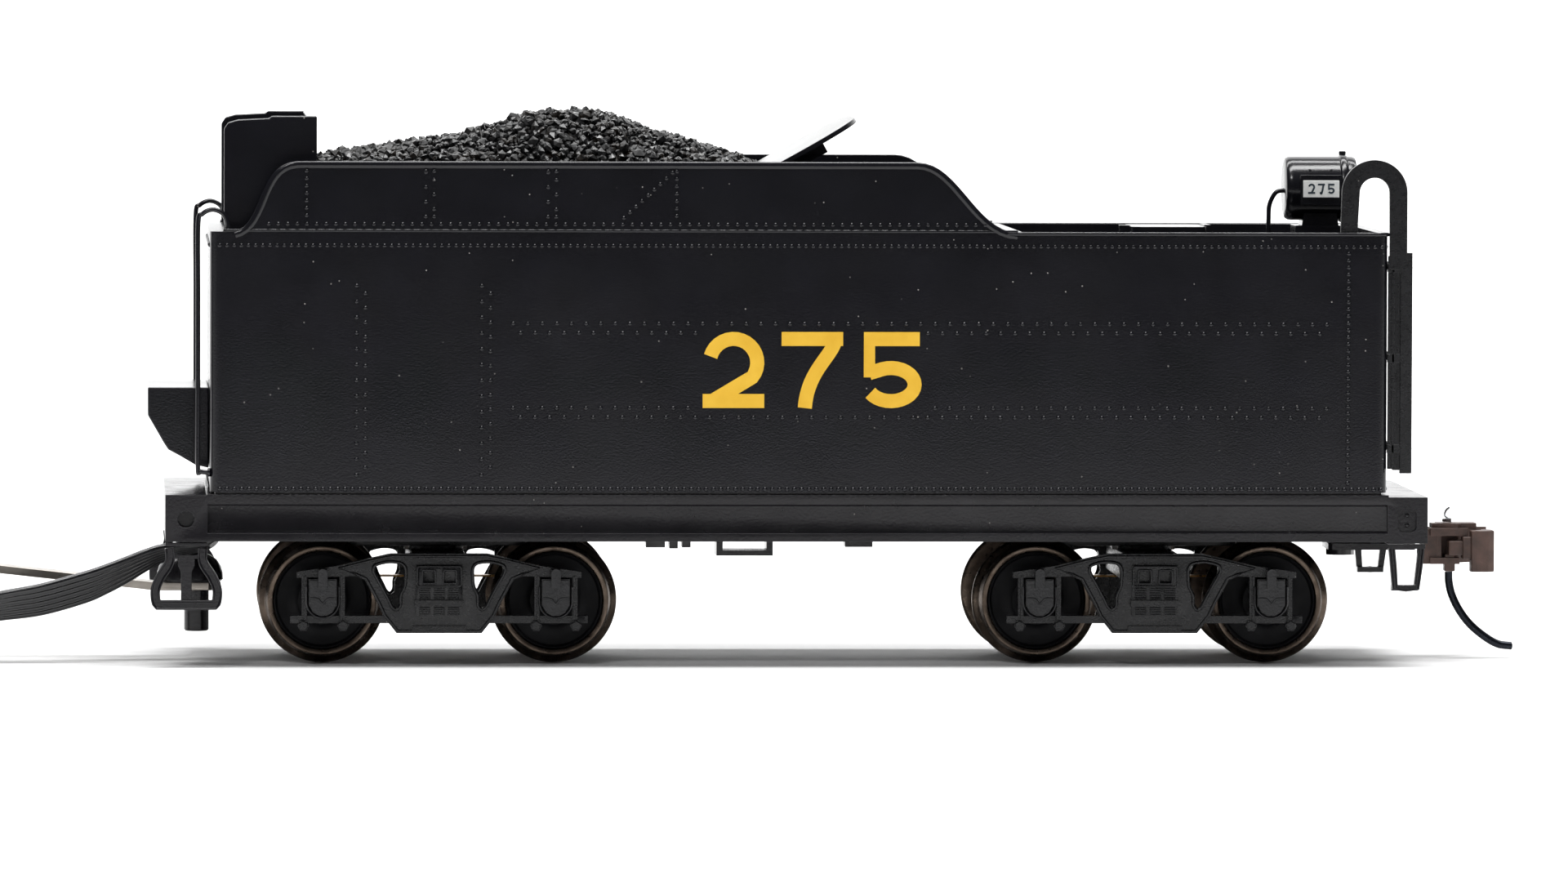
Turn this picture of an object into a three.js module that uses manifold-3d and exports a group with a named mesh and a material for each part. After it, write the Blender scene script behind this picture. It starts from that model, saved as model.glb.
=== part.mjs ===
// Tender of an H0 (1:87) model steam locomotive: a die-cast underframe on two four-wheel trucks,
// with a riveted tank and coal bunker, a backup lamp, a knuckle coupler and a drawbar.
// Millimetres. X runs to the rear, the left side is -Y, Z is up from the bottom of the wheel flanges.
import * as THREE from 'three';
import { mergeVertices } from 'three/addons/utils/BufferGeometryUtils.js';
import Module from 'manifold-3d';

const wasm = await Module();
wasm.setup();

// ---------------------------------------------------------------- driving dimensions

const HALF_WIDTH = 17; // tank, sills and end beams
const TANK_HALF_LENGTH = 54.6;
const TANK_BOTTOM = 16.3;
const TANK_TOP = 40.4;
const TANK_CORNER = 1.1;
const WALL = 1.2;
const DECK_TOP = 39.4; // the rear deck lies below the tank's rim
const FLARE_TOP = 46.9; // top edge of the bunker's sides
const FLARE_THICKNESS = 0.9;
const FLARE_FRONT = -52.4;
const FLARE_REAR = 20.15;

const FLOOR_TOP = 16.1;
const FLOOR_BOTTOM = 14.9;
const SILL_BOTTOM = 11.75;
const FRONT_BEAM = [-58.7, -54.8];
const REAR_BEAM = [54.65, 58.4];
const SLIP = 0.05; // gap between pieces that touch

const TRUCK_X = 33.3; // truck pivots, before and behind the middle
const WHEELBASE = 21.6;
const AXLE_HEIGHT = 5.9;
const FLANGE_RADIUS = 5.9;
const TREAD_RADIUS = 5.25;
const WHEEL_BACK = 7.2; // half the back-to-back distance
const WHEEL_FACE = 10;
const AXLE_RADIUS = 1;
const AXLE_HALF_LENGTH = 12.7;
const WHEEL_SIDES = 24;

const POST_X = -55.7; // the post that the drawbar turns on
const POST_RADIUS = 1.175; // a snug fit in the drawbar's eye
const DRAWBAR_REACH = 23.5; // from hole to hole
const DRAWBAR_LEVEL = 6.75;
const DRAWBAR_RISE = 2.6; // from the bend to the front end

const COUPLER_PIVOT_X = 54.5;
const LAMP = { x0: 46.4, x1: 53.15, z: 44.2, radius: 3 };

const WIRES = 6;
const WIRE_RADIUS = 0.375;
const WIRE_SPACING = 0.8;
const WIRE_STEPS = 20;
const PLUG = [-90.2, -84.3]; // the plug on the end of the wires, along X

const OBJECT_FRONT = POST_X - DRAWBAR_REACH - 2.3;
const OBJECT_REAR = 68.05; // end of the trip pin
const MIDDLE_X = (OBJECT_FRONT + OBJECT_REAR) / 2;

// ---------------------------------------------------------------- materials

const finish = (color, roughness, metalness = 0) =>
  new THREE.MeshStandardMaterial({ color, roughness, metalness });
const BLACK = finish(0x1c1c20, 0.55);
const FRAME_BLACK = finish(0x262527, 0.5);
const COAL = finish(0x0b0b0c, 0.25);
const NICKEL = finish(0x6b5a50, 0.35, 0.9);
const STEEL = finish(0xb4b0aa, 0.35, 0.9);
const BROWN = finish(0x523d36, 0.5);
const BRONZE = finish(0xb08d57, 0.35, 0.9);
const WHITE = finish(0xf2f2ee, 0.5);
const GLASS = finish(0xe8eef2, 0.05);
const LED = finish(0xfff2c8, 0.3);
const ZINC = finish(0x8f8f92, 0.5, 0.7);
const BOARD = finish(0x1f4d33, 0.5);
const WIRE = finish(0x0e0e10, 0.4);

// ---------------------------------------------------------------- shape helpers

const [ALONG_X, ALONG_Y, ALONG_Z] = [[1, 0, 0], [0, 1, 0], [0, 0, 1]].map((d) => new THREE.Vector3(...d));
const PLANES = {
  X: new THREE.Matrix4().makeBasis(ALONG_Y, ALONG_Z, ALONG_X), // a shape in Y and Z, deep along X
  Y: new THREE.Matrix4().makeBasis(ALONG_X, ALONG_Z, ALONG_Y.clone().negate()), // X and Z, deep along Y
  Z: new THREE.Matrix4(), // X and Y, deep along Z
};

const outline = (points) => new THREE.Shape(points.map(([u, v]) => new THREE.Vector2(u, v)));

function roundedRect(u0, v0, u1, v1, r) {
  const shape = new THREE.Shape();
  shape.moveTo(u0 + r, v0).lineTo(u1 - r, v0).absarc(u1 - r, v0 + r, r, -Math.PI / 2, 0, false);
  shape.lineTo(u1, v1 - r).absarc(u1 - r, v1 - r, r, 0, Math.PI / 2, false);
  shape.lineTo(u0 + r, v1).absarc(u0 + r, v1 - r, r, Math.PI / 2, Math.PI, false);
  shape.lineTo(u0, v0 + r).absarc(u0 + r, v0 + r, r, Math.PI, Math.PI * 1.5, false);
  return shape;
}

// A flat shape made solid between two places along an axis.
function plate(shape, axis, a, b, curveSegments = 5) {
  const [from, to] = [Math.min(a, b), Math.max(a, b)];
  const made = new THREE.ExtrudeGeometry(shape, { depth: to - from, bevelEnabled: false, curveSegments });
  made.translate(0, 0, axis === 'Y' ? -to : from);
  return made.applyMatrix4(PLANES[axis]);
}

function block(x0, x1, y0, y1, z0, z1) {
  const made = new THREE.BoxGeometry(Math.abs(x1 - x0), Math.abs(y1 - y0), Math.abs(z1 - z0));
  return made.translate((x0 + x1) / 2, (y0 + y1) / 2, (z0 + z1) / 2);
}

// A closed turning: profile pairs are radius and place along the axis, which passes through (x, y, z).
function turned(axis, profile, [x, y, z] = [0, 0, 0], sides = 16) {
  const made = new THREE.LatheGeometry(profile.map(([r, t]) => new THREE.Vector2(r, t)), sides);
  made.rotateY(Math.PI / sides);
  if (axis === 'Z') made.rotateX(Math.PI / 2);
  if (axis === 'X') made.rotateZ(-Math.PI / 2);
  return made.translate(x, y, z);
}

const rod = (axis, r, from, to, centre, sides = 12) =>
  turned(axis, [[0, from], [r, from], [r, to], [0, to]], centre, sides);

function tube(points, radius, sides = 8, steps = 24) {
  const path = new THREE.CatmullRomCurve3(points.map((p) => new THREE.Vector3(...p)), false, 'centripetal');
  const section = new THREE.Shape().absarc(0, 0, radius, 0, Math.PI * 2, false);
  return new THREE.ExtrudeGeometry(section, { steps, extrudePath: path, curveSegments: sides / 2 });
}

function solid(item) {
  if (!(item instanceof THREE.BufferGeometry)) return item;
  const bare = item.index ? item.toNonIndexed() : item.clone();
  bare.deleteAttribute('normal');
  bare.deleteAttribute('uv');
  const merged = mergeVertices(bare, 1e-5);
  return new wasm.Manifold(
    new wasm.Mesh({
      numProp: 3,
      vertProperties: new Float32Array(merged.attributes.position.array),
      triVerts: new Uint32Array(merged.index.array),
    })
  );
}

const join = (...items) => items.map(solid).reduce((whole, item) => whole.add(item));
const cut = (whole, ...items) => items.map(solid).reduce((rest, item) => rest.subtract(item), solid(whole));

// A plate with openings right through it.
function punched(shape, holes, axis, a, b) {
  const [from, to] = [Math.min(a, b), Math.max(a, b)];
  return cut(plate(shape, axis, from, to), ...holes.map((hole) => plate(hole, axis, from - 1, to + 1)));
}

function geometryOf(item) {
  const { numProp, vertProperties, triVerts } = solid(item).getMesh();
  const positions = new Float32Array((vertProperties.length / numProp) * 3);
  for (let i = 0; i < positions.length / 3; i += 1) {
    positions.set(vertProperties.subarray(i * numProp, i * numProp + 3), i * 3);
  }
  const made = new THREE.BufferGeometry();
  made.setAttribute('position', new THREE.BufferAttribute(positions, 3));
  made.setIndex(new THREE.BufferAttribute(new Uint32Array(triVerts), 1));
  made.computeVertexNormals();
  return made;
}

function addPiece(group, name, item, material) {
  const mesh = new THREE.Mesh(geometryOf(item), material);
  mesh.name = name;
  group.add(mesh);
}

const SIDES = [['left', -1], ['right', 1]];

// Two distances from the middle, as places along Y on one side, the lower one first.
const outward = (side, near, far) => (side > 0 ? [near, far] : [-far, -near]);

// ---------------------------------------------------------------- underframe

// Channel-shaped side sill: a top flange, a web set back from it, and a bottom lip.
function sill(side) {
  const web = 16.3;
  const back = 15.5;
  const section = outline([
    [side * back, SILL_BOTTOM], [side * HALF_WIDTH, SILL_BOTTOM], [side * HALF_WIDTH, 12.5],
    [side * web, 12.7], [side * web, 15], [side * HALF_WIDTH, 15.2],
    [side * HALF_WIDTH, FLOOR_TOP], [side * back, FLOOR_TOP],
  ]);
  return plate(section, 'X', FRONT_BEAM[1] - 0.1, REAR_BEAM[0] + 0.1);
}

function underframe() {
  const inner = HALF_WIDTH - 1.3;
  const slot = block(-54.4, -52.3, -9, -3.4, FLOOR_BOTTOM - 1, TANK_BOTTOM + 1);
  const frontBeam = block(...FRONT_BEAM, -HALF_WIDTH, HALF_WIDTH, 11.7, 16.05);
  const rearBeam = block(...REAR_BEAM, -HALF_WIDTH, HALF_WIDTH, 11.6, 15.9);
  const pieces = [
    sill(-1), sill(1), frontBeam, rearBeam,
    block(FRONT_BEAM[1] - 0.1, REAR_BEAM[0] + 0.1, -inner, inner, FLOOR_BOTTOM, FLOOR_TOP),
    block(-54.1, 54.1, -16.5, 16.5, FLOOR_TOP - 0.1, TANK_BOTTOM),
  ];
  for (const side of [-1, 1]) {
    pieces.push(block(-48, 48, side * 3.2, side * 4.4, 12, FLOOR_BOTTOM + 0.1)); // centre sills
    pieces.push(rod('Z', 3.2, 11, FLOOR_BOTTOM + 0.1, [side * TRUCK_X, 0, 0], 16));
    pieces.push(block(side * TRUCK_X - 2, side * TRUCK_X + 2, -inner, inner, 12.6, FLOOR_BOTTOM + 0.1));
  }
  const cuts = [slot, block(50.2, 60, -3.6, 3.6, 10, 13.2)]; // the coupler box sits in the second one
  for (const side of [-1, 1]) {
    cuts.push(rod('Z', 0.95, 10, 14.2, [side * TRUCK_X, 0, 0], 12));
    cuts.push(rod('Z', 1.1, 14, 18, [side * 47, 0, 0], 12));
    cuts.push(rod('Y', 0.78, ...outward(side, 16, 18), [-56.8, 0, 13.8]));
    cuts.push(plate(roundedRect(55.65, 12.65, 57.35, 14.85, 0.55), 'Y', side * 16.6, side * 18));
  }
  return cut(join(...pieces, brakeGear()), ...cuts);
}

// Stirrup step under the front beam, shaped like a bell, with a hanger bar down its middle.
function frontStep(side) {
  const centre = -56.75;
  const half = [[1.95, 11.65], [1.85, 10.1], [2.2, 9.3], [2.85, 8.4], [3.25, 7.3], [3.2, 5.6], [2.9, 5.43]];
  const gap = [
    [1.0, 10.35], [1.35, 9.1], [2.45, 7.3], [2.4, 6.35], [0.45, 6.35], [0.45, 8.9], [0.8, 9.4], [0.8, 10.35],
  ];
  const mirrored = (points, sign) => points.map(([u, v]) => [centre + sign * u, v]);
  const shape = outline([...mirrored(half, -1), ...mirrored(half, 1).reverse()]);
  const window = [[-1.5, 10.7], [1.5, 10.7], [1.5, 11.35], [-1.5, 11.35]].map(([u, v]) => [centre + u, v]);
  const holes = [outline(window), outline(mirrored(gap, -1)), outline(mirrored(gap, 1))];
  const tread = block(centre - 3.1, centre + 3.1, side * 15.2, side * 16.2, 5.5, 6.2);
  return join(punched(shape, holes, 'Y', side * 16, side * 16.95), tread);
}

// Plain stirrup step under the rear beam.
function rearStep(side) {
  const shape = outline([[54.7, 11.55], [54.9, 7.1], [57.8, 7.1], [58.3, 11.55]]);
  const hole = outline([[55.45, 11], [55.6, 7.8], [57.1, 7.8], [57.45, 11]]);
  const tread = block(55, 57.7, side * 15.2, side * 16.2, 7.15, 7.75);
  return join(punched(shape, [hole], 'Y', side * 16, side * 16.9), tread);
}

function drawbarPost() {
  const dome = [[0, 7.2], [3.1, 7.2], [3.1, 8], [2.7, 9], [1.9, 9.6], [1.3, 9.8], [1.3, 11.65], [0, 11.65]];
  return join(turned('Z', dome, [POST_X - 0.6, 0, 0]), rod('Z', POST_RADIUS, 2.5, 7.3, [POST_X, 0, 0], 16));
}

// Small fittings of the brake gear, hanging under the middle of the frame.
function brakeGear() {
  const lug = (x0, x1, bottom) => block(x0, x1, -1.6, 1.6, bottom, 11.5);
  const channel = cut(block(-7, -1.7, -2, 2, 9.65, 11.5), block(-6.4, -2.3, -3, 3, 10.15, 11.1));
  return join(
    block(-15, 8.4, -3.8, 3.8, 11.4, 12.1), channel,
    lug(-13.6, -11.8, 10.4), lug(-11.4, -10.6, 10.3), lug(-10.2, -9.4, 10.4), lug(5.1, 7.7, 10.45)
  );
}

// ---------------------------------------------------------------- tank and bunker

function flare(side) {
  const shape = new THREE.Shape();
  shape.moveTo(FLARE_FRONT, TANK_TOP - 0.3).lineTo(FLARE_FRONT, TANK_TOP);
  shape.bezierCurveTo(-49.6, 40.9, -50.4, 46.6, -46.6, FLARE_TOP);
  shape.lineTo(10.8, FLARE_TOP).bezierCurveTo(14.6, FLARE_TOP, 16.2, 40.5, FLARE_REAR, TANK_TOP);
  shape.lineTo(FLARE_REAR, TANK_TOP - 0.3);
  return plate(shape, 'Y', side * (HALF_WIDTH - FLARE_THICKNESS), side * HALF_WIDTH, 10);
}

function tankShell() {
  const body = roundedRect(-TANK_HALF_LENGTH, -HALF_WIDTH, TANK_HALF_LENGTH, HALF_WIDTH, TANK_CORNER);
  const inside = [TANK_HALF_LENGTH - WALL, HALF_WIDTH - WALL];
  const shell = cut(
    plate(body, 'Z', TANK_BOTTOM, TANK_TOP),
    block(-inside[0], inside[0], -inside[1], inside[1], TANK_BOTTOM - 1, DECK_TOP - WALL),
    block(FLARE_REAR + 0.6, 53.9, -16.3, 16.3, DECK_TOP, TANK_TOP + 1)
  );
  const posts = [-1, 1].map((side) => rod('Z', 2, TANK_BOTTOM + 0.1, DECK_TOP - 0.5, [side * 47, 0, 0], 12));
  const pilots = [-1, 1].map((side) => rod('Z', 0.95, TANK_BOTTOM - 1, 24, [side * 47, 0, 0], 12));
  return cut(join(shell, flare(-1), flare(1), ...posts), ...pilots);
}

// Board across the front of the coal with a wing running forward at each end.
function coalBulkhead() {
  const bottom = TANK_TOP + SLIP;
  const wing = outline([
    [-53.3, bottom], [-44.7, bottom], [-44.7, 51], [-48.9, 51], [-49.1, 50.8],
    [-52, 50.65], [-52.9, 50.4], [-53.3, 49.8],
  ].reverse());
  const board = block(-45.6, -44.7, -14, 14, bottom, 51);
  return join(board, ...[-1, 1].map((side) => plate(wing, 'Y', side * 13.2, side * 14.1)));
}

// Heap of coal: a plain mound here, highest on the centre line.
function coalLoad() {
  const ridge = [
    [-44.6, 47.2], [-40, 47.9], [-36, 48.5], [-31, 49.1], [-27, 50.4], [-24.5, 51.2], [-19.7, 51.5],
    [-17, 51.2], [-13.8, 49.8], [-10.5, 49], [-6.2, 47.6], [-4, 46.9], [-2.8, 46.1],
  ];
  const [front, rear] = [ridge[0][0], ridge.at(-1)[0]];
  const halfWidth = HALF_WIDTH - FLARE_THICKNESS - 0.2;
  const [bottom, edge] = [TANK_TOP + SLIP, 46];
  const ridgeAt = (x) => {
    const i = Math.max(1, ridge.findIndex(([at]) => at >= x - 1e-6));
    const [[xa, za], [xb, zb]] = [ridge[i - 1], ridge[i]];
    return za + ((zb - za) * (x - xa)) / (xb - xa);
  };
  const heap = new THREE.BoxGeometry(rear - front, 2 * halfWidth, 1, 16, 6, 1);
  heap.translate((front + rear) / 2, 0, 0);
  const position = heap.attributes.position;
  for (let i = 0; i < position.count; i += 1) {
    const [x, y, z] = [position.getX(i), position.getY(i), position.getZ(i)];
    const top = edge + (ridgeAt(x) - edge) * Math.cos((y / halfWidth) * (Math.PI / 2)) ** 0.8;
    position.setZ(i, z < 0 ? bottom : Math.max(top, 44.5));
  }
  return heap;
}

// Tilted sheet behind the coal, with rounded upper corners and two bars under it.
function slopeSheet() {
  const [length, half, corner, thick] = [9.4, 12.5, 7, 0.45];
  const shape = new THREE.Shape();
  shape.moveTo(0, -half).lineTo(length - corner, -half);
  shape.absarc(length - corner, -half + corner, corner, -Math.PI / 2, 0, false);
  shape.lineTo(length, half - corner).absarc(length - corner, half - corner, corner, 0, Math.PI / 2, false);
  shape.lineTo(0, half);
  const bars = [-1, 1].map((side) => block(2.2, 5.6, side * 6.5, side * 7.5, -1.1, 0.1));
  const tilted = geometryOf(join(plate(shape, 'Z', 0, thick), ...bars));
  tilted.rotateY(THREE.MathUtils.degToRad(-29)).translate(-2.4, 0, 45.9);
  const stands = [-1, 1].map((side) => block(0.6, 1.6, side * 6.6, side * 7.4, TANK_TOP + SLIP, 47));
  return join(tilted, ...stands);
}

function waterHatch() {
  const lid = plate(roundedRect(31.8, -4.6, 38.8, 4.6, 1), 'Z', DECK_TOP, 40.65);
  const hinge = block(38.7, 39.3, -2.6, 2.6, DECK_TOP, 40.8);
  const latch = block(30.9, 31.9, -0.6, 0.6, DECK_TOP, 40.7);
  return join(lid, hinge, latch);
}

function frontLocker() {
  const face = -TANK_HALF_LENGTH - SLIP;
  const shape = outline([
    [face, 18.2], [face, 25.7], [-60.3, 25.7], [-60.3, 23.1], [-58.8, 20.5],
    [-58.4, 19.9], [-57.1, 19.2], [-55.9, 18.5],
  ]);
  return plate(shape, 'Y', -9.5, 9.5);
}

function frontHandrail(side) {
  const y = side * 16.2;
  const rail = -55.7;
  const route = [
    [-54.9, 18.1], [-55.45, 18.2], [rail, 18.7], [rail, 26], [rail, 34], [rail, 41],
    [-55.3, 42], [-54.35, 42.4], [-53.4, 42], [-53, 41.1], [-53, TANK_TOP + 0.1],
  ];
  return tube(route.map(([x, z]) => [x, y, z]), 0.225, 6, 22);
}

// Ladder on the tank's back, with its left stile carried up and over onto the deck.
function rearLadder() {
  const top = { x: 53.35, z: 44.15, outer: 3.05, inner: 1.4 };
  const arch = new THREE.Shape();
  arch.moveTo(top.x - top.outer, TANK_TOP + SLIP).lineTo(top.x - top.outer, top.z);
  arch.absarc(top.x, top.z, top.outer, Math.PI, 0, true);
  arch.lineTo(top.x + top.outer, 37).lineTo(top.x + top.inner, 37).lineTo(top.x + top.inner, top.z);
  arch.absarc(top.x, top.z, top.inner, 0, Math.PI, false);
  arch.lineTo(top.x - top.inner, TANK_TOP + SLIP);
  const [left, right] = [-16.2, -9.6];
  const web = block(54.7, 55.8, left - 0.2, left + 0.3, 18.5, 38.3); // stands the left stile off the tank
  const pieces = [plate(arch, 'Y', left - 0.3, left + 0.3, 10), web];
  for (const y of [left, right]) {
    pieces.push(block(55.7, 56.9, y - 0.3, y + 0.3, 18.1, 38.6));
    for (const z of [20, 28.4, 36.8]) pieces.push(block(54.7, 55.8, y - 0.3, y + 0.3, z, z + 0.8));
  }
  for (let rung = 0; rung < 6; rung += 1) {
    pieces.push(rod('Y', 0.25, left, right, [56.3, 0, 19.8 + rung * 3.4], 6));
  }
  return join(...pieces);
}

// ---------------------------------------------------------------- backup lamp

function lampBody() {
  const { x0, x1, z, radius } = LAMP;
  const barrel = turned('X', [
    [0, x0], [radius - 0.25, x0], [radius, x0 + 0.25], [radius, 51.6], [3.4, 51.7], [3.4, 52.2],
    [radius, 52.3], [radius - 0.3, x1], [2.4, x1], [2.4, 47.4], [0, 47.4],
  ], [0, 0, z], 16);
  const foot = block(47.8, 51.6, -2, 2, DECK_TOP + SLIP, 41.9);
  const boxes = SIDES.map(([, side]) => block(47.7, 51.6, side * 2, side * 3.2, 42.7, 45.5));
  const bore = rod('X', 2.4, 47.4, x1 + 1, [0, 0, z], 16);
  const conduit = [[46.6, 44], [45.7, 43.8], [45.1, 42.7], [45, 41.4], [45, DECK_TOP + SLIP]];
  const wireTube = tube(conduit.map(([x, h]) => [x, 0, h]), 0.21, 6, 8);
  return cut(join(barrel, foot, wireTube, ...boxes), bore);
}

const numberPlate = (side) => block(47.95, 51.35, side * (3.2 + SLIP), side * 3.4, 43.4, 45);

function lampLens() {
  return turned('X', [[0, 52.1], [2.3, 52.1], [2.3, 52.4], [1.4, 52.8], [0, 52.9]], [0, 0, LAMP.z]);
}

function lampBulb() {
  return turned('X', [[0, 47.5], [1, 47.5], [1, 49], [0.6, 49.6], [0, 49.8]], [0, 0, LAMP.z], 12);
}

// ---------------------------------------------------------------- inside the tank, and fasteners

function weight() {
  const slab = block(-20, 20, -13, 13, TANK_BOTTOM + SLIP, 24.4);
  const corners = [[-1, -1], [-1, 1], [1, -1], [1, 1]];
  const posts = corners.map(([i, j]) => rod('Z', 1.4, 24.3, 27.9, [i * 16, j * 8, 0], 10));
  return join(slab, ...posts);
}

function circuitBoard() {
  const sheet = plate(roundedRect(-19, -10.5, 19, 10.5, 1), 'Z', 27.95, 29.1);
  const chip = block(-6, 4, -4, 4, 29, 30.3);
  const socket = block(-17, -13.5, -7, 7, 29, 31.5);
  const capacitor = block(9, 12, -6, 2, 29, 30.5);
  return join(sheet, chip, socket, capacitor);
}

// A screw driven in from below: its head's radius and two levels, then its shank's radius and top.
function screw(x, head, headBottom, headTop, shank, top) {
  const profile = [
    [0, headBottom], [head, headBottom], [head, headTop], [shank, headTop], [shank, top], [0, top],
  ];
  return turned('Z', profile, [x, 0, 0], 12);
}

// ---------------------------------------------------------------- trucks

const wheelProfile = [
  [1.05, WHEEL_BACK], [5.5, WHEEL_BACK], [FLANGE_RADIUS, 7.5], [TREAD_RADIUS, 8.2],
  [TREAD_RADIUS - 0.15, WHEEL_FACE], [4.5, WHEEL_FACE], [4.4, 9.4], [2.5, 9.4], [2.4, 9.8], [1.05, 9.8],
];

function wheel(side) {
  const flat = 1 / Math.cos(Math.PI / WHEEL_SIDES); // keeps the flats, not the corners, at full radius
  const profile = wheelProfile.map(([r, t]) => [r * flat, side * t]);
  profile.push(profile[0]);
  return turned('Y', side > 0 ? profile : profile.reverse(), [0, 0, 0], WHEEL_SIDES);
}

function axle() {
  const half = [[0.2, AXLE_HALF_LENGTH], [AXLE_RADIUS, 11.3]];
  return turned('Y', [
    [0, -AXLE_HALF_LENGTH], ...half.map(([r, t]) => [r, -t]), ...half.toReversed(), [0, AXLE_HALF_LENGTH],
  ], [0, 0, 0], 12);
}

function bolster() {
  const beam = plate(roundedRect(-2.6, 7.6, 2.6, 10.3, 0.3), 'Y', -11.45, 11.45, 2);
  return cut(join(beam, rod('Z', 3, 10.2, 10.9, undefined, 16)), rod('Z', 1.05, 7, 12));
}

const axlePlaces = [-WHEELBASE / 2, WHEELBASE / 2];

// Side frame of a cast-steel truck: an arched top member, two triangular windows beside the spring
// nest, and at each end a pedestal that holds the journal box.
function sideframe(side) {
  const mirrored = (points) => [...points, ...points.toReversed().map(([u, v]) => [-u, v])];
  const body = outline(mirrored([
    [-3.95, 3.06], [-5.15, 4.58], [-5.7, 5.8], [-6.9, 8], [-7.7, 8.35], [-13.2, 8.2],
    [-13.2, 8.75], [-9.4, 9.3], [-6.4, 10], [-4.5, 10.42],
  ]).toReversed());
  const window = [
    [-5.9, 9.45], [-4.4, 9.7], [-3.3, 9.4], [-3.05, 7.5], [-3.55, 6.5],
    [-3.55, 5.5], [-3.95, 5.15], [-4.4, 5.4], [-5.95, 8.4],
  ];
  const windows = [outline(window), outline(window.map(([u, v]) => [-u, v]))];
  const pieces = [
    punched(body, windows, 'Y', ...outward(side, 12.1, 13.5)),
    block(-2.15, 2.15, ...outward(side, 11.5, 14), 4.7, 9.36), // spring nest
  ];
  for (const x of axlePlaces) {
    const inward = -Math.sign(x);
    pieces.push(block(x - 1.3, x + 1.3, ...outward(side, 11.5, 14.2), 5.6, 8.1)); // journal box
    pieces.push(rod('Y', 1.25, ...outward(side, 11.5, 14.2), [x, 0, AXLE_HEIGHT]));
    pieces.push(block(x - 0.45, x + 0.45, ...outward(side, 13, 14.3), 7.4, 9));
    for (const leg of [x - 1.7, x + 1.8]) {
      pieces.push(block(leg - 0.25, leg + 0.25, ...outward(side, 12.1, 13.4), 4, 8.5));
    }
    const [a, b] = [x - inward * 3, x + inward * 6.4];
    pieces.push(block(Math.min(a, b), Math.max(a, b), ...outward(side, 12.1, 13.3), 3.97, 4.65)); // tie bar
    for (const bolt of [-1.8, 1.9]) {
      pieces.push(rod('Y', 0.55, ...outward(side, 12.1, 13.7), [x + bolt, 0, 3.75], 6));
    }
  }
  const bearings = axlePlaces.map((x) =>
    rod('Y', 1.12, ...outward(side, 11, 12.95), [x, 0, AXLE_HEIGHT]));
  const lightening = [-0.95, 0.95].map((x) => block(x - 0.6, x + 0.6, ...outward(side, 13.2, 15), 7.7, 9));
  return cut(join(...pieces), ...bearings, ...lightening);
}

// Bronze strip that picks up track power from the tops of the two axles.
function pickupWiper() {
  const top = outline([
    [-11.7, 7.15], [-11.7, 7], [-9.9, 7], [-8.4, 7.4], [8.4, 7.4], [9.9, 7], [11.7, 7], [11.7, 7.15],
    [9.95, 7.15], [8.5, 7.55], [-8.5, 7.55], [-9.95, 7.15],
  ]);
  return plate(top, 'Y', 3, 4.6);
}

function addTruck(tender, end, x) {
  const truck = new THREE.Group();
  truck.position.x = x;
  addPiece(truck, `${end}_truck_bolster`, bolster(), BLACK);
  addPiece(truck, `${end}_truck_pickup_wiper`, pickupWiper(), BRONZE);
  for (const [name, side] of SIDES) {
    addPiece(truck, `${end}_truck_sideframe_${name}`, sideframe(side), BLACK);
  }
  axlePlaces.forEach((place, i) => {
    const wheelset = new THREE.Group();
    wheelset.position.set(place, 0, AXLE_HEIGHT);
    addPiece(wheelset, `${end}_axle_${i + 1}`, axle(), NICKEL);
    for (const [name, side] of SIDES) {
      addPiece(wheelset, `${end}_wheel_${i + 1}_${name}`, wheel(side), NICKEL);
    }
    truck.add(wheelset);
  });
  tender.add(truck);
}

// ---------------------------------------------------------------- drawbar and coupler

function drawbar() {
  const bend = -59.6;
  const front = POST_X - DRAWBAR_REACH;
  const [low, high] = [DRAWBAR_LEVEL - 0.375, DRAWBAR_LEVEL + 0.375];
  const side = outline([
    [-50, low], [-50, high], [bend, high], [front - 4, high + DRAWBAR_RISE],
    [front - 4, low + DRAWBAR_RISE], [bend, low],
  ]);
  const plan = new THREE.Shape();
  plan.absarc(POST_X, 0, 2.3, -Math.PI * 0.34, Math.PI * 0.34, false);
  plan.lineTo(POST_X - 2.4, 2).lineTo(front + 2.4, 2);
  plan.absarc(front, 0, 2.3, Math.PI * 0.34, Math.PI * 1.66, false);
  plan.lineTo(POST_X - 2.4, -2);
  const eyes = [rod('Z', 1.3, 0, 20, [POST_X, 0, 0], 16), rod('Z', 1.3, 0, 20, [front, 0, 0], 16)];
  return cut(solid(plate(side, 'Y', -4, 4)).intersect(solid(plate(plan, 'Z', 0, 20, 8))), ...eyes);
}

function couplerBox() {
  const outer = block(50.5, 58.7, -3.5, 3.5, 10.95, 13.1);
  const chamber = block(51.4, 59, -2.9, 2.9, 10.9, 12.55);
  return cut(outer, chamber);
}

function couplerBoxLid() {
  const plateShape = roundedRect(50.5, -3.5, 58.7, 3.5, 0.5);
  const boss = rod('Z', 1.35, 9.7, 10.5, [51.9, 0, 0]);
  const pin = rod('Z', 0.8, 10.8, 12.4, [COUPLER_PIVOT_X, 0, 0]);
  return join(plate(plateShape, 'Z', 10.3, 10.9), boss, pin);
}

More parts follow.
